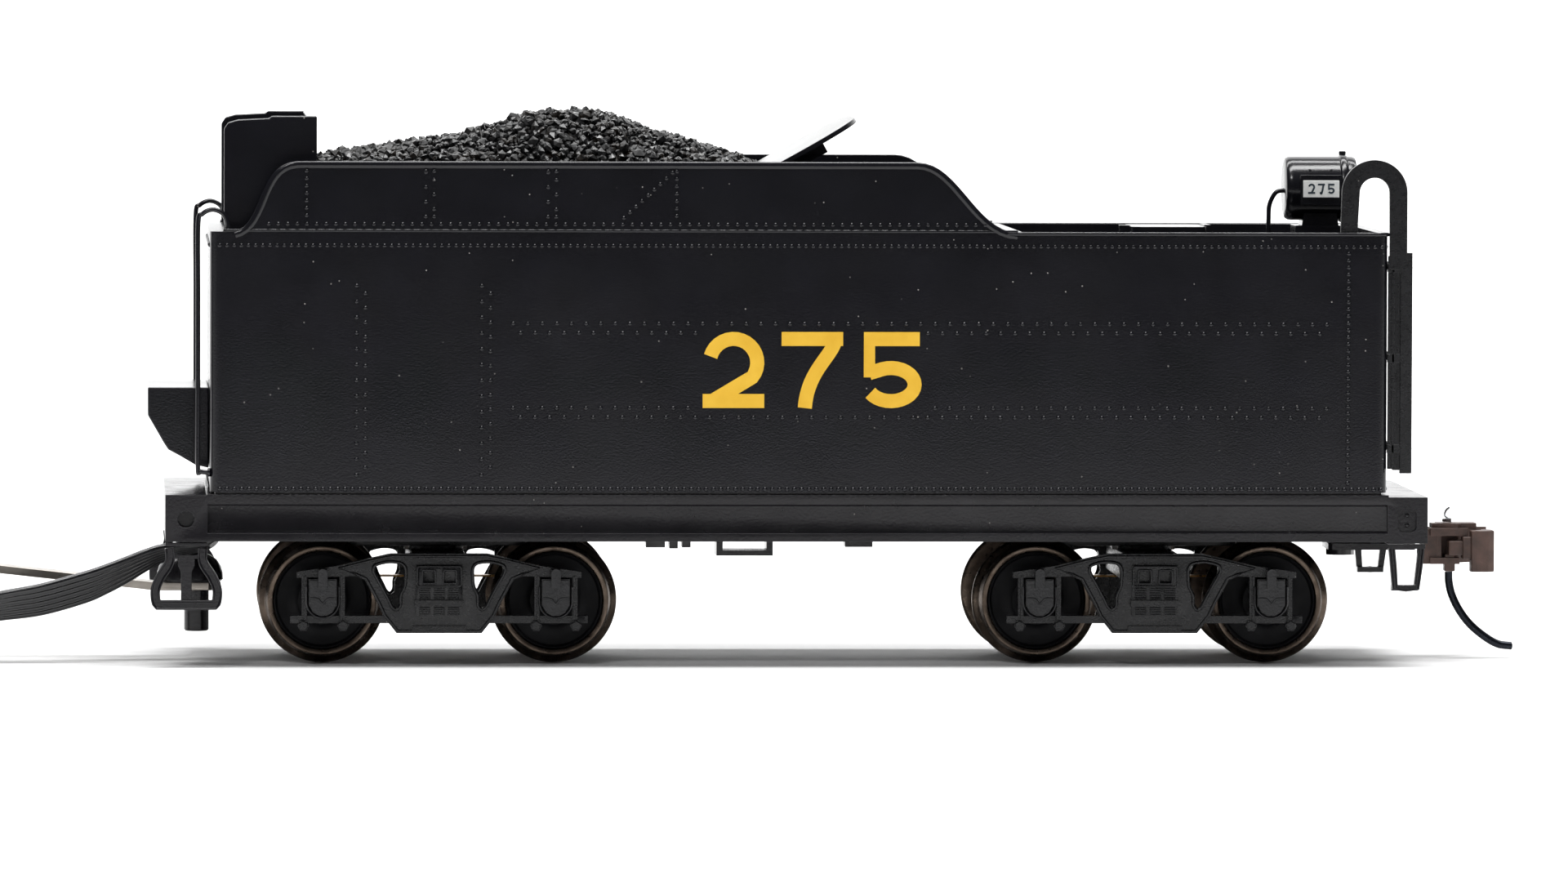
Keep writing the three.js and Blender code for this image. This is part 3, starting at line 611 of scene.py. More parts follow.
class TenderSizes(bpy.types.PropertyGroup):
    """Sizes that a user may change without moving anything that fits."""

    rivet: FloatProperty(name="Rivet", description="Diameter of a rivet head", default=0.46 * MM, **LENGTH)
    edge: FloatProperty(
        name="Edge", description="How far sharp edges are rounded", default=0.09 * MM, **LENGTH,
    )
    lump: FloatProperty(name="Lump", description="Usual size of a lump of coal", default=0.85 * MM, **LENGTH)
    seed: IntProperty(name="Seed", description="Which heap of coal is thrown", default=7, min=0)
    wire: FloatProperty(name="Wire", description="Diameter of each wire", default=0.75 * MM, **LENGTH)
    lens: FloatProperty(name="Lens", description="Focal length of the camera", default=285.9, min=50, max=500)


class TenderColours(bpy.types.PropertyGroup):
    """Colours of the stage."""

    floor: FloatVectorProperty(
        name="Floor", description="Colour of the floor and the sweep", subtype="COLOR",
        default=linear("#eeeeee"),
    )
    room: FloatVectorProperty(
        name="Room", description="Colour of the light from all round", subtype="COLOR",
        default=linear("#d8dadd"),
    )


def sizes():
    """The sizes that are set now."""
    return bpy.context.scene.tender_sizes


def colours():
    """The stage's colours that are set now."""
    return bpy.context.scene.tender_colours


# ------------------------------------------------------------------ camera and wires

CAMERA_PLACE = (-63.94, -1167, 71.85)  # over a metre away, a little ahead of the tank and above it
CAMERA_AIM = (-1.5, -17, 21.09)
CAMERA_ROLL = 0.19  # degrees
SENSOR_WIDTH = 36


class TENDER_OT_camera(bpy.types.Operator):
    """Stands the camera beside the tender, on a long lens"""

    bl_idname = "tender.camera"
    bl_label = "Camera"

    def execute(self, context):
        camera = bpy.data.objects.new("camera", bpy.data.cameras.new("camera"))
        context.scene.collection.objects.link(camera)
        place, aim = Vector(in_row(CAMERA_PLACE)), Vector(in_row(CAMERA_AIM))
        turn = (aim - place).to_track_quat("-Z", "Y").to_matrix().to_4x4()
        roll = Matrix.Rotation(np.radians(CAMERA_ROLL), 4, "Z")
        camera.matrix_world = Matrix.Translation(place) @ turn @ roll
        camera.data.lens = sizes().lens
        camera.data.sensor_width = SENSOR_WIDTH
        context.scene.camera = camera
        return {"FINISHED"}


WIRE_ROUTE = [
    (-53.35, -6.2, 15.9, 0, 0), (-53.35, -6.2, 14, 0, 0), (-53.5, -6.2, 12.4, 0, 0),
    (-54.2, -6.2, 11.3, 0.12, 0), (-55.6, -6.3, 10.7, 0.12, 0), (-58.7, -6.4, 10.15, 0.24, 0),
    (-60.5, -6.6, 9.45, 0.32, 0), (-62.2, -6.8, 8.6, 0.4, 0), (-64.2, -7.1, 7.7, 0.46, 0),
    (-66.2, -7.4, 6.95, 0.5, 0), (-70.2, -7.8, 5.85, 0.5, 0), (-74.3, -7.9, 5.2, 0.45, 0),
    (-77, -8, 4.5, 0.35, 0.05), (-79.6, -8, 3.3, 0.175, 0.15), (-81.8, -8, 2, 0.05, 0.3),
    (-84, -8, 1.25, 0, 0.4),
]  # the middle of the loom: x, y, z, then how far one wire lies above the next, and how much wider than usual
WIRE_SPACING = 0.8


def wire_line(index):
    """The line that one wire follows, in tank millimetres: the loom's middle, moved by its place in it."""
    place = index - (WIRES - 1) / 2
    x, y, z, lift, wider = np.array(WIRE_ROUTE).T
    return curve(np.stack([x, y - (WIRE_SPACING + wider) * place, z + lift * place], -1), steps=6)


class TENDER_OT_wires(bpy.types.Operator):
    """Runs the six wires from the floor's slot to their plug"""

    bl_idname = "tender.wires"
    bl_label = "Wires and plug"

    def execute(self, context):
        diameter = sizes().wire
        plug = eased_copy("wire_plug", "loom_plug", wire_sleeve, bevel=0.15)
        for index in range(WIRES):
            line = wire_line(index)
            tube = swept(line, circle(diameter / MM / 2), up=(0, 1, 0))
            name = f"wire_{index + 1}"
            wire = new_piece(f"loom_{name}", [tube], wire_sleeve, replaces=[name])
        return {"FINISHED"}


# ------------------------------------------------------------------ tank

NUMBER = "275"
NUMBER_CENTRE = (1.1, 27.67)
DIGIT = {"width": 5.7, "height": 7.05, "stroke": 1.3, "gap": 1.6}

RIVET_ROUNDNESS = 0.9  # a rivet head's height over its radius
FLARE_FRONT, FLARE_REAR = -52.4, 20.15
BEAD_HEIGHT = 0.7


def flare_edge():
    """The top edge of the bunker's side in X and Z: up from the tank, along, and down in an S to the deck."""
    front = bezier(
        (FLARE_FRONT, TANK_TOP), (-49.6, TANK_TOP + 0.5), (-50.4, FLARE_TOP - 0.3), (-46.6, FLARE_TOP),
    )
    rear = bezier((10.8, FLARE_TOP), (14.6, FLARE_TOP), (16.2, TANK_TOP + 0.1), (FLARE_REAR, TANK_TOP))
    return np.vstack([front, np.linspace((-46, FLARE_TOP), (10.2, FLARE_TOP), 12), rear])


def half_round(width, height):
    """The section of a bead: a half ellipse with a little of it sunk in the surface behind."""
    angle = np.linspace(0, np.pi, 9)
    bow = np.stack([width / 2 * np.cos(angle), height * np.sin(angle)], -1)
    return np.vstack([bow, [(-width / 2, -0.1), (width / 2, -0.1)]])


def flare_beads(side):
    """The rounded moulding along a bunker side's top edge, and the seam below it."""
    edge = flare_edge()
    slope = np.gradient(edge, axis=0)
    slope /= np.linalg.norm(slope, axis=1, keepdims=True)
    inward = np.stack([slope[:, 1], -slope[:, 0]], -1)
    middle = on_plane(edge + inward * (BEAD_HEIGHT / 2 - 0.02), "Y", side * (HALF_WIDTH - 0.02))
    y, z = side * HALF_WIDTH, TANK_TOP + 0.1
    seam = np.linspace((FLARE_FRONT - 0.8, y, z), (FLARE_REAR, y, z), 40)
    outward = (0, side, 0)
    return [swept(middle, half_round(BEAD_HEIGHT, 0.2), outward), swept(seam, half_round(0.3, 0.12), outward)]


def deck_rim():
    """The rolled edge round the rear deck: along both sides, round the corners and across the back."""
    out, corner = 0.02, 1.1
    x, y = HALF_LENGTH + out, HALF_WIDTH + out
    right = arc((x - corner, y - corner), corner, 90, 0)
    left = arc((x - corner, -y + corner), corner, 0, -90)
    start = np.linspace((FLARE_REAR - 1, y), (x - corner, y), 20)
    plan = np.vstack([start, right[1:], left, start[::-1][1:] * (1, -1)])
    path = np.column_stack([plan, np.full(len(plan), TANK_TOP - 0.12)])
    return swept(path, circle(0.2, 10), up=(0, 0, 1))


def row(start, end, pitch):
    """Rivet places in a straight row, evenly spaced at about the pitch."""
    start, end = np.asarray(start, float), np.asarray(end, float)
    count = int(round(np.linalg.norm(end - start) / pitch)) + 1
    return np.linspace(start, end, count)


def staggered(start, end, pitch, across):
    """Two rows side by side, each starting half a pitch from the other."""
    start, end, across = (np.asarray(p, float) for p in (start, end, across))
    half = (end - start) / np.linalg.norm(end - start) * pitch / 2
    return np.vstack([row(start, end, pitch), row(start + across + half, end + across - half, pitch)])


def clear_of_number(places):
    """The rivets that don't lie under the running number."""
    half_width = (len(NUMBER) * (DIGIT["width"] + DIGIT["gap"]) - DIGIT["gap"]) / 2 + 0.35
    half_height = DIGIT["height"] / 2 + 0.3
    away = np.abs(places - NUMBER_CENTRE) > (half_width, half_height)
    return places[away.any(axis=1)]


def side_rivets():
    """The places of one side's rivets, X and Z."""
    top, bottom = 39.12, 16.62
    front, rear = -53.7, 54.0
    rows = [
        row((-49.2, 41.1), (17.1, 41.1), 0.88),
        row((front, top), (rear, top), 0.66),
        row((front, bottom), (rear, bottom), 0.68),
        row((50.9, bottom + 0.6), (50.9, top - 0.6), 0.65),
        row((-45.7, 41.9), (-45.7, 46.0), 0.68),
        row((-16.4, 41.7), (-11.9, 45.9), 0.8),
        row((-11.5, 41.9), (-11.5, 46.0), 0.68),
    ]
    for x in (-34.7, -23.4):
        rows.append(staggered((x, 41.8), (x, 45.9), 1.36, (0.76, 0)))
        rows.append(np.array([(x, 46.0), (x + 0.76, 46.0), (x + 0.76, 41.8)]))
    for x in (-41.06, -29.5):
        rows.append(staggered((x, 17.9), (x, 35.4), 1.4, (0.8, 0)))
    for z in (31.93, 24.12):
        rows.append(staggered((-26.6, z), (48.9, z), 1.36, (0, -0.87)))
    return clear_of_number(np.vstack(rows))


def end_rivets():
    """The places of the rivets on either end, Y and Z: a row along the bottom and one under the rim."""
    return np.vstack([row((-14.7, 16.62), (14.7, 16.62), 0.68), row((-14.7, 39.12), (14.7, 39.12), 0.66)])


class TENDER_OT_tank(bpy.types.Operator):
    """Makes the tank, the bunker's sides and the sheets on top"""

    bl_idname = "tender.tank"
    bl_label = "Tank and bunker"

    def execute(self, context):
        edge = sizes().edge / MM
        eased_copy("tank_shell", "tank_body", painted_abs, bevel=edge)
        eased_copy("coal_bulkhead", "coal_board", painted_abs, bevel=edge * 1.5)
        eased_copy("slope_sheet", "coal_slope_sheet", painted_abs, bevel=edge)
        eased_copy("water_hatch", "tank_hatch", painted_abs, bevel=edge)
        eased_copy("front_locker", "tank_locker", painted_abs, bevel=edge * 1.5)
        for name, side in SIDES.items():
            new_piece(f"flare_beads_{name}", flare_beads(side), painted_abs)
        new_piece("deck_rim", [deck_rim()], painted_abs)
        return {"FINISHED"}


class TENDER_OT_rivets(bpy.types.Operator):
    """Sets the rivets in the tank's sides and ends"""

    bl_idname = "tender.rivets"
    bl_label = "Rivets"

    def execute(self, context):
        radius = sizes().rivet / MM / 2
        height = radius * RIVET_ROUNDNESS
        for name, side in SIDES.items():
            places = on_plane(side_rivets(), "Y", side * HALF_WIDTH)
            new_piece(
                f"side_rivets_{name}", [domes(places, (0, side, 0), radius, height)], painted_abs,
            )
        for name, side in (("front", -1), ("rear", 1)):
            places = on_plane(end_rivets(), "X", side * HALF_LENGTH)
            new_piece(
                f"end_rivets_{name}", [domes(places, (side, 0, 0), radius, height)], painted_abs,
            )
        return {"FINISHED"}


# ------------------------------------------------------------------ running number

def stroke(line, width):
    """A flat stroke of one width along a line, as an outline: one edge out and the other back."""
    line = np.asarray(line, float)
    along = np.gradient(line, axis=0)
    along /= np.linalg.norm(along, axis=1, keepdims=True)
    across = np.stack([-along[:, 1], along[:, 0]], -1) * width / 2
    return np.vstack([line + across, (line - across)[::-1]])


def digit_strokes(digit, width, height, thick):
    """The lines of a plain block digit, from its lower left corner, as outlines."""
    half = thick / 2
    bowl = width / 2 - half
    right, left, top = width - half, half, height - half
    if digit == "2":
        head = arc((width / 2, top - bowl), bowl, 165, -38, 18)
        slant = np.linspace(head[-1], (left + 0.25, half), 6)[1:]
        return [stroke(np.vstack([head, slant]), thick), stroke([(0, half), (width, half)], thick)]
    if digit == "7":
        slant = bezier(
            (right - 0.05, top), (right - 0.3, top - 1.6), (width * 0.42, height * 0.5), (width * 0.38, 0),
        )
        return [stroke([(0, top), (width, top)], thick), stroke(slant, thick)]
    if digit == "5":
        waist = height * 0.46
        belly = arc((0, 0), bowl, 112, -150, 22) * (
            1, (height * 0.31 - half) / bowl,
        ) + (width / 2, height * 0.31)
        belly = np.vstack([[(left + half * 0.3, waist)], belly])
        post = [(left + half * 0.3, top), (left + half * 0.3, waist - half * 0.6)]
        bar = [(left - half * 0.5, top), (width - half * 0.3, top)]
        return [stroke(belly, thick), stroke(post, thick * 0.8), stroke(bar, thick)]
    raise ValueError(f"there is no outline for the digit {digit}")


def number_surfaces(centre_x, bottom, size, side, depth, proud):
    """A number's strokes, read from left to right by someone who faces that side; later ones lie on top."""
    step = size["width"] + size["gap"]
    first = -(len(NUMBER) * step - size["gap"]) / 2
    made = []
    for place, digit in enumerate(NUMBER):
        for layer, outline in enumerate(digit_strokes(digit, size["width"], size["height"], size["stroke"])):
            x = (outline[:, 0] + first + place * step) * -side
            flat = np.stack([centre_x + x, bottom + outline[:, 1]], -1)
            made.append(plate(flat, "Y", side * (depth - SUNK), side * (depth + proud * (1 + 0.6 * layer))))
    return made


class TENDER_OT_numbers(bpy.types.Operator):
    """Prints the running number on both sides"""

    bl_idname = "tender.numbers"
    bl_label = "Running number"

    def execute(self, context):
        for name, side in SIDES.items():
            bottom = NUMBER_CENTRE[1] - DIGIT["height"] / 2
            made = number_surfaces(NUMBER_CENTRE[0], bottom, DIGIT, side, HALF_WIDTH, 0.03)
            new_piece(f"running_number_{name}", made, printed_yellow)
        return {"FINISHED"}


# ------------------------------------------------------------------ coal

COAL_RIDGE = [
    (-44.6, 47.2), (-40, 47.9), (-36, 48.5), (-31, 49.1), (-27, 50.4), (-24.5, 51.2), (-19.7, 51.5),
    (-17, 51.2), (-13.8, 49.8), (-10.5, 49), (-6.2, 47.6), (-4, 46.9), (-2.8, 46.1),
]  # X and Z of the heap's crest
COAL_EDGE = 46  # level at the bunker's sides


def coal_level(x, y, half):
    """The heap's surface: its crest falls to the sides as a power of a cosine."""
    crest = np.interp(x, *np.array(COAL_RIDGE).T)
    return COAL_EDGE + (crest - COAL_EDGE) * np.cos(y / half * np.pi / 2) ** 0.8


def coal_bed(low, high):
    """The heap under the loose lumps: a closed box whose top follows the heap, a little lower."""
    x = np.linspace(low[0], high[0], 60)
    y = np.linspace(low[1], high[1], 40)
    x, y = np.meshgrid(x, y, indexing="ij")
    top = np.stack([x, y, coal_level(x, np.clip(y, low[1] + 0.01, high[1] - 0.01), high[1]) - 0.75], -1)
    ring = np.vstack([top[0], top[1:, -1], top[-1, -2::-1], top[-2:0:-1, 0]])
    skirt = ring.copy()
    skirt[:, 2] = low[2]
    wall, faces = grid(np.stack([ring, skirt]), close_v=True)
    base = [list(range(len(ring), 2 * len(ring)))]
    return [grid(top), (wall, faces + base)]


def lump_shape():
    """A regular twenty-sided lump: its points and faces."""
    golden = (1 + 5**0.5) / 2
    points = np.array([
        (-1, golden, 0), (1, golden, 0), (-1, -golden, 0), (1, -golden, 0), (0, -1, golden), (0, 1, golden),
        (0, -1, -golden), (0, 1, -golden), (golden, 0, -1), (golden, 0, 1), (-golden, 0, -1),
        (-golden, 0, 1),
    ]) / (2 * golden)
    faces = np.array([
        (0, 11, 5), (0, 5, 1), (0, 1, 7), (0, 7, 10), (0, 10, 11), (1, 5, 9), (5, 11, 4), (11, 10, 2),
        (10, 7, 6), (7, 1, 8), (3, 9, 4), (3, 4, 2), (3, 2, 6), (3, 6, 8), (3, 8, 9), (4, 9, 5), (2, 4, 11),
        (6, 2, 10), (8, 6, 7), (9, 8, 1),
    ])
    return points, faces


def coal_lumps(low, high, size, seed):
    """Loose lumps on the heap: one to a cell of a grid, shifted, turned, stretched and dented at random."""
    chance = np.random.default_rng(seed)
    pitch = size * 0.72
    x = np.arange(low[0] + 0.5, high[0] - 0.3, pitch)
    y = np.arange(low[1] + 0.5, high[1] - 0.4, pitch)
    places = np.stack(np.meshgrid(x, y, indexing="ij"), -1).reshape(-1, 2)
    places += chance.uniform(-0.5, 0.5, places.shape) * pitch
    places = np.clip(places, (low[0] + 0.45, low[1] + 0.45), (high[0] - 0.45, high[1] - 0.45))
    count = len(places)
    level = coal_level(places[:, 0], places[:, 1], high[1]) + chance.uniform(-0.75, -0.15, count)
    points, faces = lump_shape()
    scale = size * chance.uniform(0.55, 1.25, (count, 1, 1)) * chance.uniform(0.6, 1.25, (count, 1, 3))
    dents = chance.uniform(0.72, 1.12, (count, len(points), 1))
    turns, _ = np.linalg.qr(chance.normal(size=(count, 3, 3)))
    lumps = (points[None] * scale * dents) @ turns
    lumps += np.column_stack([places, level])[:, None]
    offsets = np.arange(count)[:, None, None] * len(points)
    return lumps.reshape(-1, 3), (faces[None] + offsets).reshape(-1, 3).tolist()


class TENDER_OT_coal(bpy.types.Operator):
    """Heaps the coal: a bed, and loose lumps all over it"""

    bl_idname = "tender.coal"
    bl_label = "Coal"

    def execute(self, context):
        low, high = tank_frame("coal_load")
        new_piece("coal_bed", coal_bed(low, high), crushed_coal, replaces=["coal_load"], flat=True)
        lumps = coal_lumps(low, high, sizes().lump / MM, sizes().seed)
        new_piece("coal_lumps", [lumps], crushed_coal, flat=True)
        return {"FINISHED"}


# ------------------------------------------------------------------ lamp, ladder and handrails

LAMP_HEIGHT = 44.2
LAMP_DIGIT = {"width": 0.66, "height": 0.95, "stroke": 0.17, "gap": 0.26}


class TENDER_OT_lamp(bpy.types.Operator):
    """Makes the backup lamp with its number boxes"""

    bl_idname = "tender.lamp"
    bl_label = "Backup lamp"

    def execute(self, context):
        barrel = turned([
            (0, 46.4), (2.5, 46.4), (2.8, 46.5), (2.96, 46.75), (3, 47.1), (3, 51.55), (3.12, 51.6),
            (3.2, 51.75), (3.2, 52.1), (3.12, 52.25), (3.02, 52.3), (2.98, 52.8), (2.85, 53.1),
            (2.6, 53.15), (2.4, 53.05), (2.4, 47.4), (0, 47.4),
        ], "X", (0, 0, LAMP_HEIGHT), sides=64)
        knob = rod("Z", 0.34, LAMP_HEIGHT + 3.1, LAMP_HEIGHT + 3.5, (51.93, 0, 0), sides=16)
        boxes = [brick(47.7, 51.6, side * 1.6, side * 3.2, 42.7, 45.5) for side in SIDES.values()]
        screws = [
            domes([(x, side * 3.02, 45.95) for x in (48.6, 50.6)], (0, side, 0), 0.14, 0.1)
            for side in SIDES.values()
        ]
        foot = [
            plate([(47.9, 40.3), (51.5, 40.3), (51.2, 42.2), (48.2, 42.2)], "Y", -1.9, 1.9),
            brick(47.3, 52.1, -2.6, 2.6, DECK_TOP + 0.02, 40.75),
        ]
        new_piece("lamp_housing", [barrel, knob, *boxes, *screws, *foot], painted_abs,
                  replaces=["backup_lamp_body"], bevel=0.06)
        route = [(46.6, 0, 44), (45.7, 0, 43.8), (45.1, 0, 42.7), (45, 0, 41.4), (45, 0, DECK_TOP + 0.02)]
        line = curve(route)
        ferrule = rod("Z", 0.42, DECK_TOP, DECK_TOP + 0.45, (45, 0, 0))
        new_piece(
            "lamp_conduit", [swept(line, circle(0.22), up=(0, 1, 0)), ferrule], painted_abs,
        )
        for name, side in SIDES.items():
            box = [brick(47.95, 51.35, side * 3.1, side * 3.32, 43.4, 45)]
            new_piece(
                f"lamp_number_{name}", box, white_print, replaces=[f"number_plate_{name}"],
                bevel=0.04,
            )
            digits = number_surfaces(49.65, 43.75, LAMP_DIGIT, side, 3.32, 0.012)
            new_piece(f"lamp_digits_{name}", digits, dark_print)
        lens = turned(
            [(0, 52.0), (2.38, 52.0), (2.38, 52.4), (2.0, 52.65), (1.2, 52.85), (0, 52.92)], "X",
            (0, 0, LAMP_HEIGHT), 48,
        )
        new_piece("lamp_lens", [lens], clear_lens, replaces=["backup_lamp_lens"])
        bulb = turned(
            [(0, 47.5), (1, 47.5), (1, 49), (0.87, 49.5), (0.5, 49.87), (0, 50)], "X", (0, 0, LAMP_HEIGHT),
            32,
        )
        new_piece("lamp_bulb", [bulb], warm_resin, replaces=["backup_lamp_bulb"])
        return {"FINISHED"}


LADDER_STILES = (-16.2, -9.6)
LADDER_BRACKETS = (20, 28.4, 36.8)
LOWEST_RUNG, RUNG_PITCH, RUNGS = 19.8, 3.4, 6
HANDRAIL_Y = 16.2


def ladder_arch(y):
    """The left stile's top: up from the deck, over in a half circle and down behind the tank."""
    x, z, outer, inner = 53.35, 44.15, 3.05, 1.4
    outside = arc((x, z), outer, 180, 0, 28)
    inside = arc((x, z), inner, 0, 180, 20)
    outline = np.vstack([
        [(x - outer - 0.1, TANK_TOP + 0.04)], outside, [(x + outer, 37), (x + inner + 0.05, 37)], inside,
        [(x - inner - 0.2, TANK_TOP + 0.04)],
    ])
    return plate(outline, "Y", y - 0.35, y + 0.35)


class TENDER_OT_climbing(bpy.types.Operator):
    """Makes the ladder at the back and the handrails at the front"""

    bl_idname = "tender.climbing"
    bl_label = "Ladder and handrails"

    def execute(self, context):
        left, right = LADDER_STILES
        ladder = [ladder_arch(left)]
        ladder.append(brick(54.66, 55.8, left - 0.2, left + 0.3, 18.5, 38.3))
        ladder += [
            brick(55.0, 55.25, left - 0.32, left, 18.6, 38.2),
            brick(55.5, 55.62, left - 0.3, left, 18.6, 38.2),
        ]
        for y in (left, right):
            ladder.append(brick(55.8, 56.9, y - 0.32, y + 0.32, 18.1, 38.6))
            ladder += [brick(54.62, 55.8, y - 0.32, y + 0.32, z, z + 0.8) for z in LADDER_BRACKETS]
            ladder += [domes([(57 - 0.2, y, z + 0.4)], (1, 0, 0), 0.2, 0.15) for z in LADDER_BRACKETS]
        rungs = [LOWEST_RUNG + RUNG_PITCH * rung for rung in range(RUNGS)]
        ladder += [rod("Y", 0.26, left, right, (56.3, 0, z)) for z in rungs]
        new_piece("tank_ladder", ladder, moulded_acetal, replaces=["rear_ladder"], bevel=0.07)
        for name, side in SIDES.items():
            route = [
                (-54.75, 18.1), (-55.45, 18.2), (-55.7, 18.7), (-55.7, 26), (-55.7, 34), (-55.7, 41),
                (-55.3, 42), (-54.35, 42.4), (-53.4, 42), (-53, 41.1), (-53, TANK_TOP - 0.1),
            ]
            line = curve([(x, side * HANDRAIL_Y, z) for x, z in route], steps=10)
            foot = rod("X", 0.4, -54.8, -54.55, (0, side * HANDRAIL_Y, 18.1))
            cap = rod("Z", 0.4, TANK_TOP - 0.05, TANK_TOP + 0.25, (-53, side * HANDRAIL_Y, 0))
            rail = [swept(line, circle(0.225), up=(0, 1, 0)), foot, cap]
            node = f"front_handrail_{name}"
            new_piece(f"handrail_{name}", rail, painted_abs, replaces=[node])
        return {"FINISHED"}


# ------------------------------------------------------------------ underframe


def step_section(wide, deep):
    """The section of a step's bent bar: flat, with a raised lip along both edges."""
    lip = 0.14
    return [
        (-wide / 2, -deep / 2), (wide / 2, -deep / 2), (wide / 2, deep / 2), (wide / 2 - lip, deep / 2),
        (wide / 2 - 1.5 * lip, deep / 2 - lip), (1.5 * lip - wide / 2, deep / 2 - lip),
        (lip - wide / 2, deep / 2), (-wide / 2, deep / 2),
    ]


def front_step(side):
    """The bell-shaped front step: a lipped bar bent round, its hanger bar, a top block and a tread."""
    x = -56.75
    bell = [(-1.55, 11.1), (-1.5, 10.1), (-1.75, 9.4), (-2.35, 8.5), (-2.82, 7.4), (-2.85, 6.5), (-2.7, 5.85)]
    left = curve([(x + u, v) for u, v in bell], steps=6)
    right = left * (-1, 1) + (2 * x, 0)
    bottom = np.linspace(left[-1], right[-1], 12)[1:-1]
    loop = np.vstack([left, bottom, right[::-1]])
    bar = swept(on_plane(loop, "Y", side * 16.5), step_section(0.9, 0.85), up=(0, side, 0))
    top = [
        brick(x - 1.95, x + 1.95, side * 16.02, side * 16.9, 11.3, 11.62),
        brick(x - 1.8, x + 1.8, side * 16.02, side * 16.6, 10.15, 10.5),
    ]
    hanger = plate(
        [
            (x - 0.8, 10.4), (x + 0.8, 10.4), (x + 0.78, 9.5), (x + 0.5, 8.9), (x + 0.5, 5.9),
            (x - 0.5, 5.9), (x - 0.5, 8.9), (x - 0.78, 9.5),
        ],
        "Y", side * 16.05, side * 16.55,
    )
    tread = brick(x - 2.9, x + 2.9, side * 15.2, side * 16.3, 5.6, 6.15)
    return [bar, *top, hanger, tread]


def rear_step(side):
    """The plain rear step: a flat bar bent into a trapezium, and a tread."""
    loop = [
        (55.05, 11.5), (55.25, 9.4), (55.4, 7.45), (56.4, 7.42), (57.4, 7.45), (57.65, 9.4), (57.85, 11.5),
    ]
    bar = swept(on_plane(np.array(loop), "Y", side * 16.45), step_section(0.62, 0.85), up=(0, side, 0))
    top = brick(54.75, 58.2, side * 16.02, side * 16.88, 11.1, 11.53)
    tread = brick(55.1, 57.6, side * 15.2, side * 16.3, 7.18, 7.7)
    return [bar, top, tread]


WEB_REACH = 8.4  # how far the centre sills' webs reach to each side of a truck's middle


class TENDER_OT_underframe(bpy.types.Operator):
    """Makes the underframe with its steps and the drawbar's post"""

    bl_idname = "tender.underframe"
    bl_label = "Underframe"

    def execute(self, context):
        edge = sizes().edge / MM
        eased_copy("underframe", "frame_casting", painted_zinc, bevel=edge)
        webs = [
            brick(centre - WEB_REACH, centre + WEB_REACH, *sorted((side * 3.3, side * 4.3)), 10.7, 12.1)
            for centre in TRUCKS.values() for side in SIDES.values()
        ]
        new_piece("centre_sill_webs", webs, painted_zinc, bevel=edge)
        for name, side in SIDES.items():
            new_piece(
                f"step_front_{name}", front_step(side), painted_zinc,
                replaces=[f"front_step_{name}"], bevel=0.06,
            )
            new_piece(
                f"step_rear_{name}", rear_step(side), painted_zinc,
                replaces=[f"rear_step_{name}"], bevel=0.06,
            )
            pocket = [domes([(56.5, side * 16.62, z) for z in (14.2, 13.3)], (0, side, 0), 0.22, 0.14)]
            new_piece(f"pocket_bolts_{name}", pocket, painted_zinc)
        dome = turned([
            (0, 7.2), (2.95, 7.2), (3.1, 7.35), (3.08, 8), (2.9, 8.6), (2.5, 9.2), (1.9, 9.6), (1.4, 9.78),
            (1.3, 9.95), (1.3, 11.6), (0, 11.6),
        ], "Z", (-56.3, 0, 0), sides=40)
        post = rod("Z", 1.17, 2.5, 7.3, (-55.7, 0, 0), sides=32, edge=0.14)
        new_piece("drawbar_pillar", [dome, post], painted_zinc, replaces=["drawbar_post"])
        return {"FINISHED"}


# ------------------------------------------------------------------ trucks


def wheel_rim(x, side):
    """A wheel's metal: flange, coned tread and the bright chamfer round its face."""
    profile = [
        (1.05, 7.25), (4.9, 7.22), (5.55, 7.2), (5.75, 7.24), (5.87, 7.36), (5.9, 7.5), (5.85, 7.68),
        (5.65, 7.9), (5.4, 8.05), (5.27, 8.25), (5.1, 9.85), (5.02, 9.97), (4.86, 10), (4.62, 9.92),
        (4.52, 9.78), (4.5, 9.3), (1.05, 9.3),
    ]
    profile = [(radius, side * place) for radius, place in profile + profile[:1]]
    return turned(profile, "Y", (x, 0, AXLE_HEIGHT), sides=96)


def wheel_face(x, side):
    """A wheel's painted face: a dished web between a raised ring and a hub."""
    profile = [
        (1.05, 9.2), (4.49, 9.2), (4.49, 9.7), (4.36, 9.76), (4.24, 9.66), (4.15, 9.45), (3.4, 9.36),
        (2.7, 9.4), (2.4, 9.55), (2.25, 9.78), (2.1, 9.82), (1.3, 9.82), (1.05, 9.76),
    ]
    profile = [(radius, side * place) for radius, place in profile + profile[:1]]
    return turned(profile, "Y", (x, 0, AXLE_HEIGHT), sides=72)


def axle_shape(x):
    """An axle with its pointed ends, eased where it enters the wheels."""
    half = [(0.12, 12.7), (0.3, 12.62), (1.0, 11.3), (1.02, 9.9), (1.02, 7.0), (0.95, 6.9), (0.95, 0.5)]
    profile = [(0, 12.7), *half, *[(r, -y) for r, y in half[::-1]], (0, -12.7)]
    return turned(profile, "Y", (x, 0, AXLE_HEIGHT), sides=32)


def loop_bead(points, side, depth, wide, tall):
    """A raised bead round a closed outline on a truck's side."""
    return swept(on_plane(points, "Y", side * depth), half_round(wide, tall), (0, side, 0), closed=True)


FRAME_FACE, PANEL_FACE = 13.46, 13.98  # how far out a side frame's face and its middle panel stand
CELL_WIDTH = 1.22
COIL_REACH, COIL_PITCH = 0.52, 0.21


